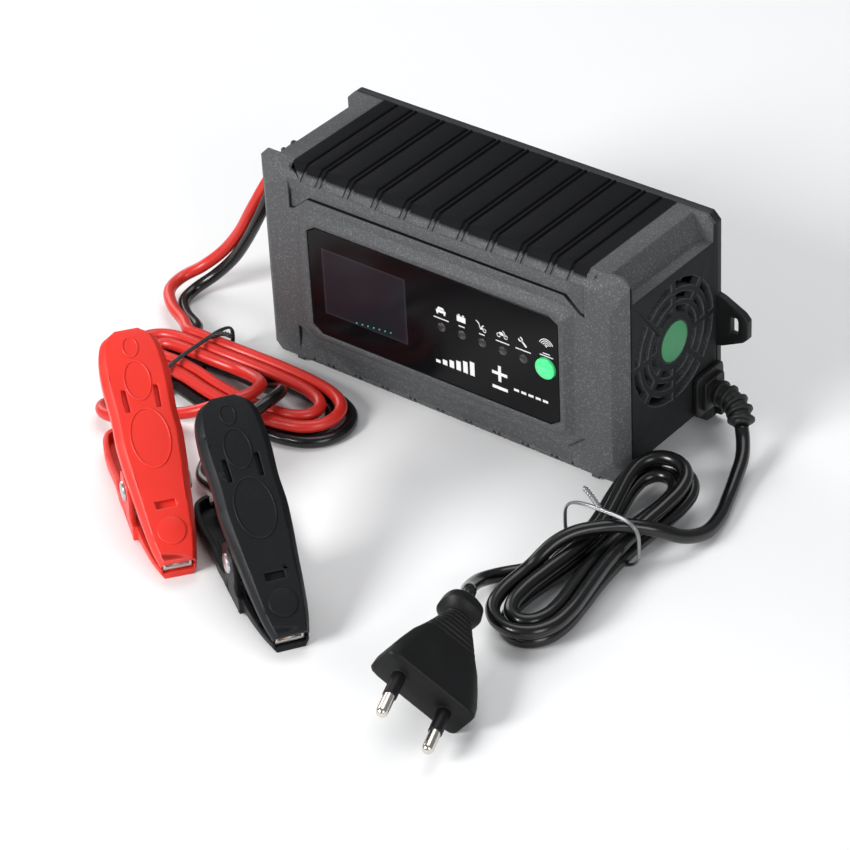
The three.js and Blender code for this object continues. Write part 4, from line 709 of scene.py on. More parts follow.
def past_rectangle(tree, centre_x, centre_z, wide, high):
    sizes = enumerate((centre_x, centre_z, wide / 2, high / 2))
    values = {i: size * MM for i, size in sizes}
    return node(tree, "ShaderNodeGroup", values, node_tree=rectangle_group).outputs["Distance"]


def tint(look, share, colour):
    """Mixes a colour over a finish's base colour."""
    base = look.node_tree.nodes["Principled BSDF"].inputs["Base Color"]
    fill(base.node, {"Base Color": mixed(look.node_tree, share, base.links[0].from_socket, colour)})


looks["panel_gloss"] = finish(
    "gloss_window", (0.0036, 0.0036, 0.0042), 0.16, cells=300, bump=0.0, edge=0.6, radius=0.0003,
    mottle=0.05, specular=0.14,
)
w = looks["panel_gloss"].node_tree
past_screen = past_rectangle(w, *SCREEN)
glass = mixed(w, ranged(w, past_screen, -0.0012, 0), (0.0135, 0.0125, 0.0165, 1), (0.026, 0.025, 0.03, 1))
tint(looks["panel_gloss"], ranged(w, past_screen, 0.0001, -0.0001), glass)
looks["screen"] = finish("screen_glass", (0.013, 0.012, 0.016), 0.12, cells=400, bump=0.0)

looks["button_lit"] = finish("lit_button", (0.05, 0.62, 0.2), 0.22, cells=900, bump=0.04, coat=0.6, edge=0.2)
b = looks["button_lit"].node_tree
glow = ranged(b, past_rectangle(b, BUTTON_X, BUTTON_Z, 0.4, 0.4), 0.0042, 0)
fill(b.nodes["Principled BSDF"], {
    "Emission Color": mixed(b, glow, (0.01, 0.2, 0.06, 1), (0.1, 0.75, 0.32, 1)), "Emission Strength": 0.55,
})
ink = finish("white_print", (0.8, 0.8, 0.8), 0.5, cells=1500, bump=0.05, edge=0.0, mottle=0.03)
teal = finish("teal_glow", (0.06, 0.42, 0.34), 0.5, cells=1500, bump=0.05, edge=0.0)
print("window, button and print are mixed")

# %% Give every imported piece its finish
slot_of = {part["node"]: part["material_slot"] for part in frame["record"]["subparts"]}


def dress(target, look):
    target.data.materials.clear()
    target.data.materials.append(look)


for name, target in frame["nodes"].items():
    dress(target, looks[slot_of[name]])
print("all", len(frame["nodes"]), "pieces have their slot's finish")

# %% [markdown]
# ## The housing
# The shell, the back plate and the small moulded parts keep the model's shape. A mould
# never leaves a knife edge, so each is copied, its loose triangles are merged, flat
# regions are dissolved to single faces, and only the long outer edges get a small round.

# %% Rounded copies of moulded parts
SMOOTH_ANGLE = 34
THINNEST_FACE = 0.03


def thinness(face):
    """A face's area over its longest edge."""
    return face.calc_area() / max(edge.calc_length() for edge in face.edges)


def dissolve_flat(shape, verts, edges):
    bmesh.ops.dissolve_limit(
        shape, angle_limit=math.radians(0.6), verts=verts, edges=edges, use_dissolve_boundaries=False
    )


def rounded_copy(node_name, slot, width, least_length, angle=24, body="root", reshape=None):
    mesh = frame["nodes"][node_name].data.copy()
    mesh.name = node_name + "_rounded"
    shape = bmesh.new()
    shape.from_mesh(mesh)
    bmesh.ops.remove_doubles(shape, verts=shape.verts, dist=2e-6)
    if reshape:
        reshape(shape)
    else:
        dissolve_flat(shape, shape.verts, shape.edges)
    weight = shape.edges.layers.float.new("bevel_weight_edge")
    count = 0
    for edge in shape.edges:
        if len(edge.link_faces) == 2 and edge.calc_length() > least_length * MM:
            bend = math.degrees(edge.calc_face_angle(0))
            if angle < bend < 150 and min(map(thinness, edge.link_faces)) > THINNEST_FACE * MM:
                edge[weight] = 1.0
                count += 1
    shape.to_mesh(mesh)
    shape.free()
    piece = placed(mesh.name, mesh)
    bevel = piece.modifiers.new("round", "BEVEL")
    bevel.limit_method = "WEIGHT"
    bevel.width = width * MM
    bevel.segments = 2
    bevel.use_clamp_overlap = False
    bevel.harden_normals = False
    piece = settled(piece)
    piece.data.shade_smooth()
    piece.data.set_sharp_from_angle(angle=math.radians(SMOOTH_ANGLE))
    dress(piece, looks[slot])
    print(piece.name, "has", count, "rounded edges and", len(piece.data.polygons), "faces")
    return belongs(piece, body, (node_name,))


def settled(piece):
    """The piece with its modifiers worked into a plain mesh."""
    depsgraph = bpy.context.evaluated_depsgraph_get()
    made = bpy.data.meshes.new_from_object(piece.evaluated_get(depsgraph))
    made.name = piece.name
    piece.modifiers.clear()
    piece.data = made
    return piece


rounded_copy("front_shell", "housing", 0.35, 2.0)
rounded_copy("back_plate", "black_plastic", 0.4, 1.5)
rounded_copy("front_window", "panel_gloss", 0.2, 3.0)

# %% [markdown]
# The ribbed middle of the top is painted almost black, while the end caps beside it stay
# charcoal, and the faces turned along x are painted darker: painted shade where they lie away
# from the light. The housing's material gets that shade as masks on place and on the direction of the face.

# %% Painted shade on the top band and the end faces
h = looks["housing"].node_tree
place = in_axes(h, node(h, "ShaderNodeTexCoord").outputs["Object"])
facing = in_axes(h, node(h, "ShaderNodeNewGeometry").outputs["Normal"])
middle = ranged(h, maths(h, "ABSOLUTE", place["X"]), 0.0645, 0.0640)
upward = ranged(h, facing["Z"], 0.72, 0.95)
on_top = ranged(h, place["Z"], 0.0812, 0.0822)
# band: the ribbed middle of the top, which gets painted shade
band = maths(h, "MULTIPLY", middle, maths(h, "MAXIMUM", upward, on_top))
painted_end_shade_mask = ranged(h, maths(h, "ABSOLUTE", facing["X"]), 0.85, 0.97)
# painted shade: the faces turned along x darkened to a deep charcoal
tint(looks["housing"], painted_end_shade_mask, (0.017, 0.018, 0.019, 1))
# painted shade: the ribbed top band darkened almost to black
tint(looks["housing"], band, (0.0045, 0.0048, 0.0055, 1))
# where shade is painted, the specular level is lowered as well
shine = ranged(h, maths(h, "MAXIMUM", band, painted_end_shade_mask), 0, 1, 0.5, 0.1)
fill(h.nodes["Principled BSDF"], {"Specular IOR Level": shine})
print("the housing's finish has", len(h.nodes), "nodes")

# %% [markdown]
# ## The leads as tubes
# Each lead is one unbroken tube of plain plastic over its route. The boots' ends and the
# clamps take its ends in.

# %% Sweep the three leads
def lead(colour, line, diameter, slot, middle):
    piece = make_piece(colour + "_lead", sweep(line, lambda i: diameter / 2), looks[slot])
    return belongs(piece, replaced=(colour + "_lead_first", middle, colour + "_lead_last"))


mains_lead = lead("mains", mains_line, MAINS_DIAMETER, "lead_black", "mains_hank")
red_lead = lead("red", red_line, OUTPUT_DIAMETER, "lead_red", "red_lead_coil")
black_lead = lead("black", black_line, OUTPUT_DIAMETER, "lead_black", "black_lead_coil")
print("three leads,", sum(len(o.data.polygons) for o in (mains_lead, red_lead, black_lead)), "faces")

# %% [markdown]
# ## One node group for what repeats
# Ribs, screws, lamps and print dots are each one small solid set on many marks. A mesh of
# bare points carries each mark's turn, and the group puts the solid there, makes the
# copies real and gives them their finish.

# %% Copies on marks
r, given = new_group(
    "Copies on marks", "GeometryNodeTree",
    [("Marks", "Geometry"), ("Solid", "Object"), ("Finish", "Material")], [("Copies", "Geometry")],
)
repeat_group = r
turn = node(r, "GeometryNodeInputNamedAttribute", {"Name": "turn"}, data_type="FLOAT_VECTOR")
turn = node(r, "FunctionNodeEulerToRotation", {"Euler": turn.outputs["Attribute"]})
solid = node(r, "GeometryNodeObjectInfo", {"Object": given["Solid"]})
made = node(r, "GeometryNodeInstanceOnPoints", {
    "Points": given["Marks"], "Instance": solid.outputs["Geometry"], "Rotation": turn.outputs["Rotation"],
})
made = node(r, "GeometryNodeRealizeInstances", {"Geometry": made.outputs["Instances"]})
made = node(r, "GeometryNodeSetMaterial", {"Geometry": made.outputs["Geometry"], "Material": given["Finish"]})
node(r, "NodeGroupOutput", {"Copies": made.outputs["Geometry"]})


def outward(mesh):
    shape = bmesh.new()
    shape.from_mesh(mesh)
    bmesh.ops.recalc_face_normals(shape, faces=shape.faces)
    shape.to_mesh(mesh)
    shape.free()


def copies(name, shape, marks, slot, angle=40, look=None):
    """marks: (place in mm, matrix of its turn) for each copy."""
    points, faces = shape
    mesh = mesh_of("small_solid", [Vector(p) * MM for p in points], faces)
    outward(mesh)
    mesh.shade_smooth()
    mesh.set_sharp_from_angle(angle=math.radians(angle))
    solid = placed("small_solid", mesh)
    mesh = mesh_of(name, [at(place) for place, _ in marks])
    turn = mesh.attributes.new("turn", "FLOAT_VECTOR", "POINT")
    for i, (_, matrix) in enumerate(marks):
        turn.data[i].vector = matrix.to_3x3().normalized().to_euler()
    piece = placed(name, mesh)
    modifier = piece.modifiers.new("copies", "NODES")
    modifier.node_group = repeat_group
    names = {s.name: s.identifier for s in repeat_group.interface.items_tree if s.in_out == "INPUT"}
    modifier[names["Solid"]] = solid
    modifier[names["Finish"]] = look or looks[slot]
    piece = settled(piece)
    bpy.data.objects.remove(solid)
    return belongs(piece)


print("the group's inputs are", [s.name for s in repeat_group.interface.items_tree])

# %% Lofts, turned solids and wires
def squared(angle, exponent):
    c, s = abs(math.cos(angle)), abs(math.sin(angle))
    return (c**exponent + s**exponent) ** (-1 / exponent)


def loft(stations, sides=32):
    """stations: (x, half width along y, half height along z, squareness) from front to back."""
    points, faces = [], []
    for x, wide, high, exponent in stations:
        for s in range(sides):
            a = 2 * math.pi * s / sides
            k = squared(a, exponent)
            points.append(Vector((x, wide * k * math.cos(a), high * k * math.sin(a))))
    for i in range(len(stations) - 1):
        for s in range(sides):
            t = (s + 1) % sides
            faces.append((i * sides + s, (i + 1) * sides + s, (i + 1) * sides + t, i * sides + t))
    faces.append(tuple(range(sides)))
    faces.append(tuple((len(stations) - 1) * sides + s for s in range(sides))[::-1])
    return points, faces


def round_loft(rings, sides):
    """A loft of round rings, given as (x, radius)."""
    return loft([(x, radius, radius, 2) for x, radius in rings], sides)


def between(table, x):
    """The values of a table of (x, value, value…) rows at x, along straight lines between its rows."""
    rows = sorted(table)
    for a, b in zip(rows, rows[1:]):
        if x <= b[0]:
            t = max(0.0, (x - a[0]) / (b[0] - a[0]))
            return [p + (q - p) * t for p, q in zip(a[1:], b[1:])]
    return list(rows[-1][1:])


def solid_piece(name, shape, slot, angle=40, body="root", replaced=(), look=None):
    piece = make_piece(name, shape, look or looks[slot], angle)
    outward(piece.data)
    return belongs(piece, body, replaced)


def disc(radius, thick, sides=32, dome=0.0, edge=0.15):
    """A disc along x, from x = 0 up to its rounded or domed front."""
    flat_radius = radius - edge
    rings = [(0, radius), (thick - edge, radius)]
    for i in range(1, 5):
        a = math.pi / 2 * i / 4
        r = flat_radius + edge * math.cos(a) if i < 4 else flat_radius
        rings.append((thick - edge + edge * math.sin(a), r))
    if dome:
        for i in range(1, 6):
            r = flat_radius * (1 - i / 6)
            rings.append((thick + dome * (1 - (r / flat_radius) ** 2), r))
    return round_loft(rings, sides)


print("a loft of three rings has", len(round_loft([(0, 1), (1, 1), (2, 1)], 32)[1]), "faces")

# %% [markdown]
# ## The reliefs
# Each lead leaves through a stepped square collar and a ribbed rubber boot that bends
# with it. The boot's ribs are wide and soft-edged.

# %% Collars, boots and ribs
COLLAR_END = 4.3
BOOT_RIBS = 5


def relief(name, route, gland, neck, radii):
    side, y, z = gland
    start = Vector((side * HALF_WIDTH, y, z))
    out = Vector((side, 0, 0))
    steps = [
        (-2.1, neck, 2), (0.28, neck, 2), (0.3, 7.9, 9), (0.55, 8.2, 9), (2.05, 8.2, 9), (2.3, 7.9, 9),
        (2.32, 5.9, 9), (4.05, 5.9, 9), (COLLAR_END, 5.6, 9), (4.32, radii[0], 2),
    ]
    boot = [p for p in evenly(smooth_line(route, 0.3), 0.4) if (p - start).dot(out) > 4.6]
    line = [start + out * step[0] for step in steps] + boot

    def radius_at(i):
        if i < len(steps):
            return steps[i][1]
        share = (i - len(steps)) / (len(boot) - 1)
        return radii[0] + (radii[1] - radii[0]) * share - 0.5 * smoothstep(share, 0.96, 1)

    def section(i, angle):
        return squared(angle, steps[i][2]) if i < len(steps) else 1

    tube = sweep(line, radius_at, 40, section=section)
    solid_piece(name + "_boot", tube, "black_plastic", 35, replaced=(name,))
    rings = frames_along(boot)
    ribs = []
    for k in range(BOOT_RIBS):
        i = round((0.12 + 0.19 * k) * (len(boot) - 1))
        ribs.append((boot[i], Matrix(rings[i]).transposed()))
    wide = max(radii) + 0.45
    half = [(0.95, wide - 0.9), (0.7, wide), (0.4, wide + 0.3)]
    ring = round_loft([(-x, r) for x, r in half] + half[::-1], 36)
    copies(name + "_ribs", ring, ribs, "black_plastic", 60)
    print(name, "is", round(run_length(boot) + COLLAR_END), "mm long")


relief("mains_strain_relief", mains_relief, MAINS_GLAND, 3.8, (4.1, 3.4))
relief("output_strain_relief", output_relief, OUTPUT_GLAND, 4.2, (4.4, 4.3))

# %% [markdown]
# ## The plug
# A flat two-pin plug: a wide bevelled face, flanks that narrow to a grooved neck, and a
# collar. The pins are sleeved near the face and bare at the tip.

# %% Plug body and pins
PLUG_SHAPE = [
    (0, 17.65, 6.85, 9), (-5, 17.05, 6.85, 9), (-11, 15.2, 6.7, 8), (-17, 13.05, 6.45, 7),
    (-22, 10.6, 6.3, 5.5), (-27, 8.4, 6.2, 4.2), (-33, 6.1, 5.5, 3), (-38.2, 4.7, 4.7, 2),
]
PLUG_COLLAR = [
    (-38.4, 5.7, 5.7, 2.2), (-40, 7.2, 6.8, 2.6), (-43.5, 6.8, 6.4, 2.6), (-45, 5.6, 5.4, 2.3),
    (-46, 4.4, 4.4, 2),
]
RIB_START, RIB_END, RIB_PITCH = -21, -37.4, 2.05
PIN_PLACES = (9.3, -9.3)
PIN_END = 19
PIN_RADIUS = 1.9


def plug_body():
    stations = [(0, 16.6, 5.8, 8), (-0.5, 17.3, 6.5, 9)]
    x = -1.2
    while x > -38:
        wide, high, exponent = between(PLUG_SHAPE, x)
        groove = 0.0
        if RIB_END < x < RIB_START:
            groove = 0.5 * max(0, math.sin(2 * math.pi * (x - RIB_START) / RIB_PITCH)) ** 0.6
        stations.append((x, wide - groove, high - groove, exponent))
        x -= 0.28
    points, faces = loft(stations + PLUG_COLLAR, 56)
    for p in points:
        grip = math.exp(-(((p.x + 14) / 5.5) ** 2) - (p.y / 6.5) ** 2)
        p.z *= 1 - 0.14 * grip
    return points, faces


sleeve = round_loft([(10, 2.02), (9.95, 2.25), (9.6, 2.35), (-1, 2.4)], 28)
sleeves = [moved(sleeve, (0, y, 0)) for y in PIN_PLACES]
plug_solid = turned(joined(plug_body(), *sleeves), PLUG_PLACE)
plug = solid_piece("plug_shell", plug_solid, "plug_black", 38, replaced=("plug_body",))
tip = [math.pi / 2 * i / 6 for i in range(7)]
pin = round_loft(
    [(PIN_END - PIN_RADIUS * (1 - math.cos(a)), PIN_RADIUS * math.sin(a) + 0.06) for a in tip] + [(9.0, 2.0)], 28
)
pins = []
for y in PIN_PLACES:
    replaced = f"plug_pin_{len(pins) + 1}"
    shape = turned(moved(pin, (0, y, 0)), PLUG_PLACE)
    pins.append(solid_piece(replaced + "_turned", shape, "pin_nickel", 50, replaced=(replaced,)))
print("the plug has", len(plug_solid[1]), "faces")

# %% [markdown]
# ## The twist ties
# Each bundle is held by a short wire tie: a flat plastic strip with a wire down its
# middle, bent round the bundle, its two ends twisted together into a short tail.

# %% Wire ties
TIE_SQUARENESS = 0.56
TWIST_STEP, TWIST_PITCH = 0.25, 2.6
STRIP_OUTLINE = [
    (-1, -0.4), (-1, 0.4), (-0.4, 0.55), (-0.22, 1), (0.22, 1), (0.4, 0.55), (1, 0.4), (1, -0.4),
    (0.4, -0.55), (0.22, -1), (-0.22, -1), (-0.4, -0.55),
]


def wire_tie(name, centre, across, half_wide, top, tail, slot):
    def square(value):
        return math.copysign(abs(value) ** TIE_SQUARENESS, value)

    ring = []
    for i in range(96):
        a = 2 * math.pi * i / 96
        side, rise = half_wide * square(math.cos(a)), square(math.sin(a))
        height = (top + 0.6) / 2 + (top - 0.6) / 2 * rise
        ring.append(Vector((centre[0] + across.x * side, centre[1] + across.y * side, height)))
    ring = evenly(ring + [ring[0]], 0.7)[:-1]
    band = strip_ring(ring, Vector((-across.y, across.x, 0)), 0.85, 0.5)
    line = evenly(smooth_line(tail, 0.3), TWIST_STEP)
    strands = []
    for phase in (0, math.pi):
        strand = []
        for i, (p, (_, u, v)) in enumerate(zip(line, frames_along(line))):
            a = phase + 2 * math.pi * i * TWIST_STEP / TWIST_PITCH
            strand.append(p + (u * math.cos(a) + v * math.sin(a)) * 0.48)
        strands.append(sweep(strand, lambda i: 0.5, 10))
    return solid_piece(name + "_twisted", joined(band, *strands), slot, 45, replaced=(name,))


def strip_ring(ring, normal, half_wide, half_thick):
    """A flat closed strip along a ring, its width along the ring's normal."""
    points = []
    for i, p in enumerate(ring):
        tangent = (ring[(i + 1) % len(ring)] - ring[i - 1]).normalized()
        outer = tangent.cross(normal).normalized()
        points += [p + normal * (w * half_wide) + outer * (t * half_thick) for w, t in STRIP_OUTLINE]
    return points, walls(len(ring), len(STRIP_OUTLINE), closed=True)


hank_tie = wire_tie(
    "hank_tie", (94.2, -62.4), Vector((-HANK_AXIS.y, HANK_AXIS.x)), 14.6, 20.2,
    [(94.2, -62.4, 20.0), (88.8, -59.8, 21.4), (83.8, -57.4, 22.0)], "tie_silver",
)
lead_tie = wire_tie(
    "lead_tie", (-92, -55.1), Vector((0, 1)), 20.3, 12,
    [(-92, -47.1, 11.7), (-88, -44.1, 13.2), (-84, -44.1, 13.6)], "tie_black",
)
print("both ties are", hank_tie.name, "and", lead_tie.name)

# %% [markdown]
# ## The display
# The print on the window is a row of small pictures for what the charger serves, each
# with a short bar under it. Below them stand plain marks: rising level bars, a plus over
# a minus, and a row of dashes. All of it is flat outlines, made solid by a hair's depth.

# %% Drawing flat print
PRINT_BACK, PRINT_FRONT = PANEL_FRONT - 0.006, PANEL_FRONT - 0.05


def flat(outline, x=0, z=0):
    """A closed outline of (x, z) in mm round a middle, as a thin solid on the window."""
    n = len(outline)
    points = [Vector((x + u, y, z + v)) for y in (PRINT_BACK, PRINT_FRONT) for u, v in outline]
    faces = [tuple(range(n)), tuple(range(n, 2 * n))[::-1]]
    faces += [(i, (i + 1) % n, n + (i + 1) % n, n + i) for i in range(n)]
    return points, faces


def box(x0, z0, x1, z1):
    return flat([(x0, z0), (x1, z0), (x1, z1), (x0, z1)])


def on_circle(x, z, radius, angle):
    return x + radius * math.cos(angle), z + radius * math.sin(angle)


def spot(x, z, radius, sides=20):
    return flat([on_circle(x, z, radius, 2 * math.pi * i / sides) for i in range(sides)])


def stroke(marks, width):
    """A line through (x, z) marks with mitred corners."""
    pts = [Vector(m) for m in marks]
    left, right = [], []
    for i, p in enumerate(pts):
        along = (pts[min(i + 1, len(pts) - 1)] - pts[max(i - 1, 0)]).normalized()
        side = Vector((-along.y, along.x)) * width / 2
        left.append(tuple(p + side))
        right.append(tuple(p - side))
    return flat(left + right[::-1])


def arc(x, z, radius, start, end, width, steps=14):
    angles = [math.radians(start + (end - start) * i / steps) for i in range(steps + 1)]
    return stroke([on_circle(x, z, radius, a) for a in angles], width)


print("the print is", round(PRINT_BACK - PRINT_FRONT, 3), "mm thick")

# %% Small pictures
LAMP_PITCH, FIRST_LAMP, PICTURE_Z, LAMP_Z = 8.85, 4.4, 49.5, 42.9
LAMPS = 5


def car(x, z):
    return [
        box(x - 2.1, z - 0.8, x + 2.1, z + 0.35),
        flat([(x - 1.6, z + 0.45), (x + 1.6, z + 0.45), (x + 1.15, z + 1.5), (x - 1.15, z + 1.5)]),
        box(x - 1.9, z - 1.5, x - 1.2, z - 0.8), box(x + 1.2, z - 1.5, x + 1.9, z - 0.8),
    ]


def battery(x, z):
    return [
        box(x - 1.9, z - 1.4, x + 1.9, z + 0.9), box(x - 1.4, z + 1.0, x - 0.5, z + 1.6),
        box(x + 0.5, z + 1.0, x + 1.4, z + 1.6),
    ]


def barrow(x, z):
    return [
        stroke([(x - 2.3, z + 1.9), (x - 1.2, z + 1.1), (x - 0.6, z - 0.6)], 0.42),
        flat([(x - 1.1, z - 0.2), (x + 1.3, z - 0.5), (x + 0.6, z - 1.3), (x - 0.6, z - 1.2)]),
        arc(x + 1.3, z - 1.3, 0.62, 0, 330, 0.34), stroke([(x, z - 0.2), (x + 0.9, z + 0.7)], 0.5),
    ]


def motorcycle(x, z):
    return [
        arc(x - 1.5, z - 0.6, 0.75, 0, 330, 0.32), arc(x + 1.5, z - 0.6, 0.75, 0, 330, 0.32),
        flat([(x - 1.3, z + 0.7), (x - 0.1, z + 0.9), (x + 0.8, z), (x + 0.1, z - 0.6), (x - 0.9, z - 0.2)]),
        stroke([(x + 1.5, z - 0.5), (x + 0.7, z + 1.3), (x + 0.1, z + 1.5)], 0.36),
    ]


def wrench(x, z):
    return [
        stroke([(x - 0.5, z + 0.5), (x + 1.5, z - 1.5)], 0.75),
        arc(x - 1.0, z + 1.0, 0.75, 170, 460, 0.55),
    ]


def waves(x, z):
    rings = [arc(x, z - 0.9, r, 20, 160, 0.34) for r in (0.7, 1.45, 2.2, 2.95)]
    return rings + [spot(x, z - 0.9, 0.32)]


marks = []
for k, picture in enumerate((car, battery, barrow, motorcycle, wrench)):
    marks += picture(FIRST_LAMP + LAMP_PITCH * k, PICTURE_Z)
marks += waves(49.7, 52.4)
for x, wide in ((4.4, 6.6), (13.3, 2.6), (22.1, 2.4), (31.0, 5.8), (39.8, 6.6)):
    marks.append(box(x - wide / 2, 46.1, x + wide / 2, 46.55))
marks += [box(48.2, 48.3, 51.2, 48.75), box(46.9, 47.35, 52.5, 47.8)]
marks += [box(1.2 + 3 * k, 27.4, 3.2 + 3 * k, 28.6 + 0.9 * k) for k in range(6)]
cross = [(-3.3, -0.65), (-0.65, -0.65), (-0.65, -3.3), (0.65, -3.3), (0.65, -0.65), (3.3, -0.65)]
cross += [(-x, -z) for x, z in cross]
marks += [flat(cross, 29.2, 32.7), box(25.9, 26.1, 32.5, 27.4)]
marks += [box(35.2 + 3.1 * k, 28.1, 37.4 + 3.1 * k, 29.1) for k in range(5)]
solid_piece("front_print", joined(*marks), "tie_silver", 20, look=ink)
print("the print has", len(marks), "marks")

# %% Dots on the screen, lamps and the button
DOTS = 7
DOT_START, DOT_END = Vector((-34.3, 0, 30.5)), Vector((-18.8, 0, 32.0))
TO_FRONT = Matrix.Rotation(-math.pi / 2, 4, "Z")
dot_points, dot_faces = round_loft([(1, 0.3), (0, 0.42)], 16)
dot = [(x * 0.6, y, z) for x, y, z in dot_points], dot_faces
dots = []
for k in range(DOTS):
    p = DOT_START.lerp(DOT_END, k / (DOTS - 1))
    dots.append((Vector((p.x, PANEL_FRONT + 0.45, p.z)), TO_FRONT))
copies("screen_dots", dot, dots, "screen", look=teal)
lamps = [(Vector((FIRST_LAMP + LAMP_PITCH * k, PANEL_FRONT + 0.5, LAMP_Z)), TO_FRONT) for k in range(LAMPS)]
copies("lamp_lenses", disc(1.75, 0.62, 28, dome=0.35), lamps, "lamp_clear", 50)
print(len(dots), "dots and", len(lamps), "lamps")

# %% The button's dome and the sticker
STICKER_PLACE = (79.65, 0.7, 47.3)
cap_points, cap_faces = disc(4.05, 0.35, 40, dome=0.75)
cap = [Vector((BUTTON_X - p.y, PANEL_FRONT - 0.45 - p.x, BUTTON_Z + p.z)) for p in cap_points]
solid_piece("button_dome", (cap, cap_faces), "button_lit", 50, "button")
label = moved(disc(7.5, 0.4, 64, edge=0.08), STICKER_PLACE)
sticker = solid_piece("fan_sticker_disc", label, "sticker_green", replaced=("fan_sticker",))
print("the sticker is", sticker.name)

# %% [markdown]
# ## Screws
# Four pan-head screws with a cross recess hold the back plate. One head is cut once and
# copied onto four marks.

# %% Back screws
def cut_shape(shape, cutter):
    """shape less cutter, both (points, faces) in mm."""
    objects = []
    for title, (points, faces) in (("cut_body", shape), ("cut_tool", cutter)):
        mesh = mesh_of(title, [Vector(p) for p in points], faces)
        outward(mesh)
        objects.append(placed(title, mesh))
    body, tool = objects
    modifier = body.modifiers.new("cut", "BOOLEAN")
    modifier.operation, modifier.object, modifier.solver = "DIFFERENCE", tool, "EXACT"
    mesh = settled(body).data
    result = [v.co.copy() for v in mesh.vertices], [tuple(p.vertices) for p in mesh.polygons]
    for made in objects:
        bpy.data.objects.remove(made)
    bpy.data.meshes.remove(mesh)
    return result


def block(x0, y0, z0, x1, y1, z1):
    points = [Vector((x, y, z)) for x in (x0, x1) for y in (y0, y1) for z in (z0, z1)]
    return points, [(0, 1, 3, 2), (4, 6, 7, 5), (0, 4, 5, 1), (2, 3, 7, 6), (0, 2, 6, 4), (1, 5, 7, 3)]


SCREW_X, SCREW_LOW, SCREW_HIGH, BACK_FACE = 66, 6.8, 77.7, 29.25
SLOT_LONG, SLOT_THIN = 1.7, 0.4
TO_BACK = Matrix.Rotation(math.pi / 2, 4, "Z")
head = disc(2.9, 0.5, 32, dome=0.35, edge=0.3)
for y, z in ((SLOT_THIN, SLOT_LONG), (SLOT_LONG, SLOT_THIN)):
    head = cut_shape(head, block(0.35, -y, -z, 2, y, z))
screws = [
    (Vector((x, BACK_FACE - 0.1, z)), TO_BACK) for x in (-SCREW_X, SCREW_X) for z in (SCREW_LOW, SCREW_HIGH)
]
copies("back_screw_heads", head, screws, "steel", 30)
print(len(screws), "screw heads of", len(head[1]), "faces")

# %% [markdown]
# ## The clamps
# Each clamp has two moulded handles, two toothed jaws, a pin, a spring and a rubber boot.
# The jaws keep the model's shape with rounded edges. The handles' straight sides are moved
# onto a curved outline first. Low oval rims and the liners under the slots are added.

# %% Clamp pin, spring and boot
PIVOT = Vector((-30, 0, 14))
SPRING_LEG = 14


def turn_over():
    lean = math.radians(18)
    return (
        Matrix.Translation(PIVOT) @ Matrix.Rotation(lean, 4, "Y") @ Matrix.Rotation(math.pi, 4, "X")
        @ Matrix.Rotation(-lean, 4, "Y") @ Matrix.Translation(-PIVOT)
    )


def clamp_spring():
    lean, radius, half_run = math.radians(36), 3.1, 2.2
    start = -math.pi / 2
    end = start - 6 * math.pi - math.pi + lean
    coil = []
    for i in range(121):
        t = i / 120
        a = start + (end - start) * t
        coil.append(PIVOT + Vector((radius * math.cos(a), -half_run + 2 * half_run * t, radius * math.sin(a))))
    low = coil[0] + Vector((-SPRING_LEG, 0, -4.2))
    high = coil[-1] + Vector((-SPRING_LEG * math.cos(lean) - 2, 0, SPRING_LEG * math.sin(lean) + 2))
    return sweep([low, *coil, high], lambda i: 0.6, 12, first=(0, 1, 0))


def clamp_pin():
    """The pin with two domed heads, lofted along y."""
    half = [(11.1, 1.6), (10.95, 2.5), (10.7, 3.0), (10.3, 3.2), (9.95, 3.2), (9.94, 1.8)]
    points, faces = round_loft([(-y, r) for y, r in half] + half[::-1], 36)
    return [Vector((p.y + PIVOT.x, p.x, p.z + PIVOT.z)) for p in points], faces


def cable_boot():
    table = [(-72, 3.1), (-71.4, 3.5), (-68, 3.7), (-64, 3.4), (-58, 3.9), (-52, 3.9), (-48, 3.6), (-47, 3.2)]
    line = [Vector((-72 + 25 * i / 50, 0, BOOT_HEIGHT)) for i in range(51)]
    return sweep(line, lambda i: between(table, line[i].x)[0], 28)


print("the pin has", len(clamp_pin()[1]), "faces")

# %% The handles' outline
MODEL_PLAN = [(0, 0.52), (-6, 0.66), (-24, 0.84), (-44, 1), (-66, 1), (-73, 0.86), (-76.2, 0.5), (-77, 0.2)]
CURVED_PLAN = [
    (2, 0.47), (0, 0.52), (-6, 0.655), (-15, 0.765), (-24, 0.845), (-33, 0.93), (-41, 0.98), (-46, 0.965),
    (-50, 0.955), (-54, 0.975), (-59, 1.0), (-63, 1.0), (-67, 0.975), (-70, 0.935), (-72.5, 0.87),
    (-74.5, 0.765), (-75.8, 0.61), (-76.6, 0.42), (-77, 0.2),
]
CUTS = [-76.6 + 0.6 * i for i in range(20)] + [-64 + 2 * i for i in range(32)]
ROUND_END = -63.5
CHEEK_HEIGHT = 6


def curved_plan(x):
    """The handle's half width at x, as a share: a smooth line through CURVED_PLAN."""
    rows = CURVED_PLAN
    for i in range(len(rows) - 1):
        (x1, v1), (x2, v2) = rows[i], rows[i + 1]
        if x >= x2:
            x0, v0 = rows[max(i - 1, 0)]
            x3, v3 = rows[min(i + 2, len(rows) - 1)]
            slopes = (v2 - v0) / (x2 - x0) * (x2 - x1), (v3 - v1) / (x3 - x1) * (x2 - x1)
            return hermite((x - x1) / (x2 - x1), v1, slopes[0], v2, slopes[1])
    return rows[-1][1]


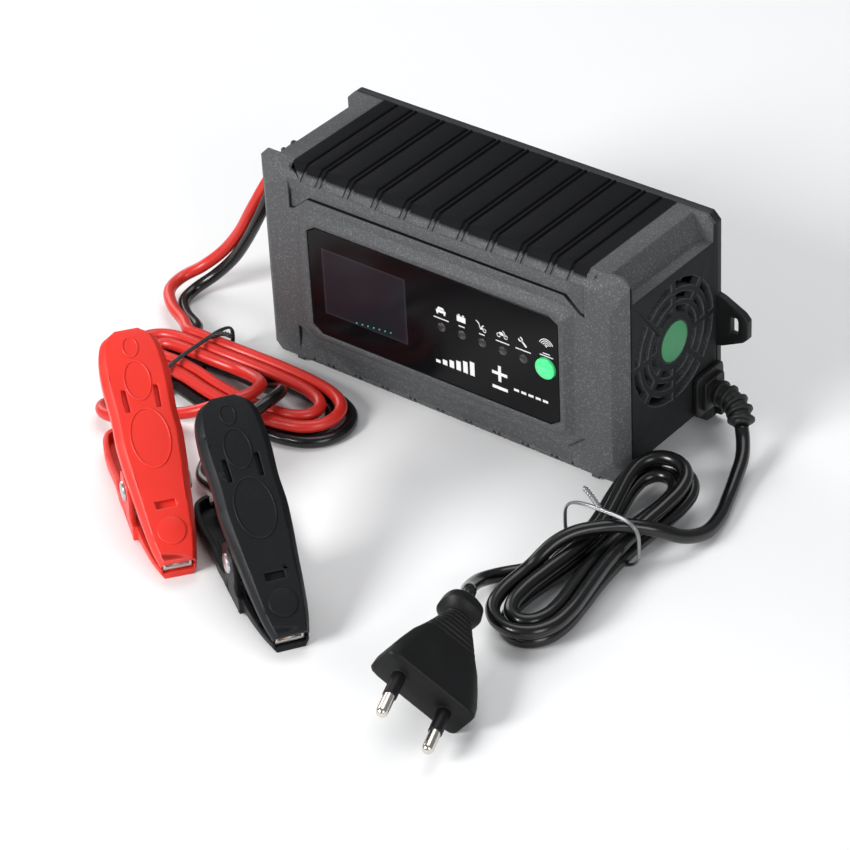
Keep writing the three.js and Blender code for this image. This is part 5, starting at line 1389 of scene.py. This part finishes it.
def curve_outline(shape, seat):
    """Cuts a handle across every millimetre or two and moves its sides onto the curved outline."""
    to_row = Matrix.Translation(at((0, 0, 0))) @ Matrix.Scale(MM, 4) @ seat
    shape.transform(to_row.inverted())
    for x in CUTS:
        everything = shape.verts[:] + shape.edges[:] + shape.faces[:]
        bmesh.ops.bisect_plane(shape, geom=everything, dist=0.02, plane_co=(x, 0, 0), plane_no=(1, 0, 0))
    away_from_cheeks = [v for v in shape.verts if abs(v.co.x - PIVOT.x) > 1 or v.co.z < CHEEK_HEIGHT]
    bmesh.ops.remove_doubles(shape, verts=away_from_cheeks, dist=0.12)
    bmesh.ops.dissolve_degenerate(shape, edges=shape.edges, dist=0.03)
    for vert in shape.verts:
        x = min(0, max(CLAMP_REAR, vert.co.x))
        vert.co.y *= curved_plan(x) / between(MODEL_PLAN, x)[0]
    end_verts = [vert for vert in shape.verts if vert.co.x < ROUND_END]
    end_edges = [edge for edge in shape.edges if max(vert.co.x for vert in edge.verts) < ROUND_END]
    dissolve_flat(shape, end_verts, end_edges)
    shape.transform(to_row)


print("a handle is cut across", len(CUTS), "times")

# %% Clamp handles and jaws
FINGER_OVALS = ((-71.0, 3.2, 2.3), (-59.8, 6.5, 4.0), (-40.6, 9.75, 6.0))  # place, half length, half width


def finger_rim(x, long, wide):
    """A low rim round a finger rest, half sunk in the handle's outer face."""
    angles = [2 * math.pi * i / 64 for i in range(64)]
    line = [Vector((x + long * math.cos(a), wide * math.sin(a), 0.05)) for a in angles]
    return sweep(line, lambda i: 0.38, 12, closed=True)


def clamp(colour, place, boot_slot):
    """All of one clamp, as a list of its pieces."""
    named, shell_slot, upper_body = colour + "_clamp_", "clamp_" + colour, colour + "_clamp_upper"
    rims = [finger_rim(*oval) for oval in FINGER_OVALS]
    rims += [block(-58.2, y - 1.3, 1.75, -49.1, y + 1.3, 2.3) for y in (-5.1, 5.1)]
    rims.append(block(-20.6, -3.5, 1.72, -16.8, 3.5, 2.05))
    boss_points, boss_faces = disc(4.5, 0.65, 40, edge=0.3)
    boss = [Vector((p.z - 10, p.y, 0.2 - p.x)) for p in boss_points], boss_faces
    made = []
    for level, body, seat, jaw_slot, raised in (
        ("lower", "root", place, "jaw_steel", rims),
        ("upper", upper_body, place @ turn_over(), "jaw_copper", [*rims, boss]),
    ):
        made.append(rounded_copy(
            f"{named}{level}_handle", shell_slot, 0.3, 0.0, 26, body, lambda shape: curve_outline(shape, seat)
        ))
        made.append(rounded_copy(f"{named}{level}_jaw", jaw_slot, 0.12, 1.5, 40, body))
        made.append(solid_piece(f"{named}{level}_rims", turned(joined(*raised), seat), shell_slot, 45, body))
    made.append(solid_piece(
        named + "pin_headed", turned(clamp_pin(), place), "steel", 30, replaced=(named + "pivot_pin",)
    ))
    spring = make_piece(named + "spring_wound", turned(clamp_spring(), place), looks["steel"], 60)
    outward(spring.data)
    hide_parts(named + "spring")
    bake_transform(spring)
    made.append(spring)
    made.append(solid_piece(
        named + "boot_moulded", turned(cable_boot(), place), boot_slot, 40, replaced=(named + "boot",),
        look=looks["lead_black"],
    ))
    return made


red_clamp_pieces = clamp("red", RED_CLAMP, "lead_red")
black_clamp_pieces = clamp("black", BLACK_CLAMP, "lead_black")
print("each clamp has", len(red_clamp_pieces), "pieces")

# %% [markdown]
# ## A lead's points in the frame
# rows gives the points of a lead's line in the frame's measure.

def rows(line):
    return [tuple(at(p)) for p in line]
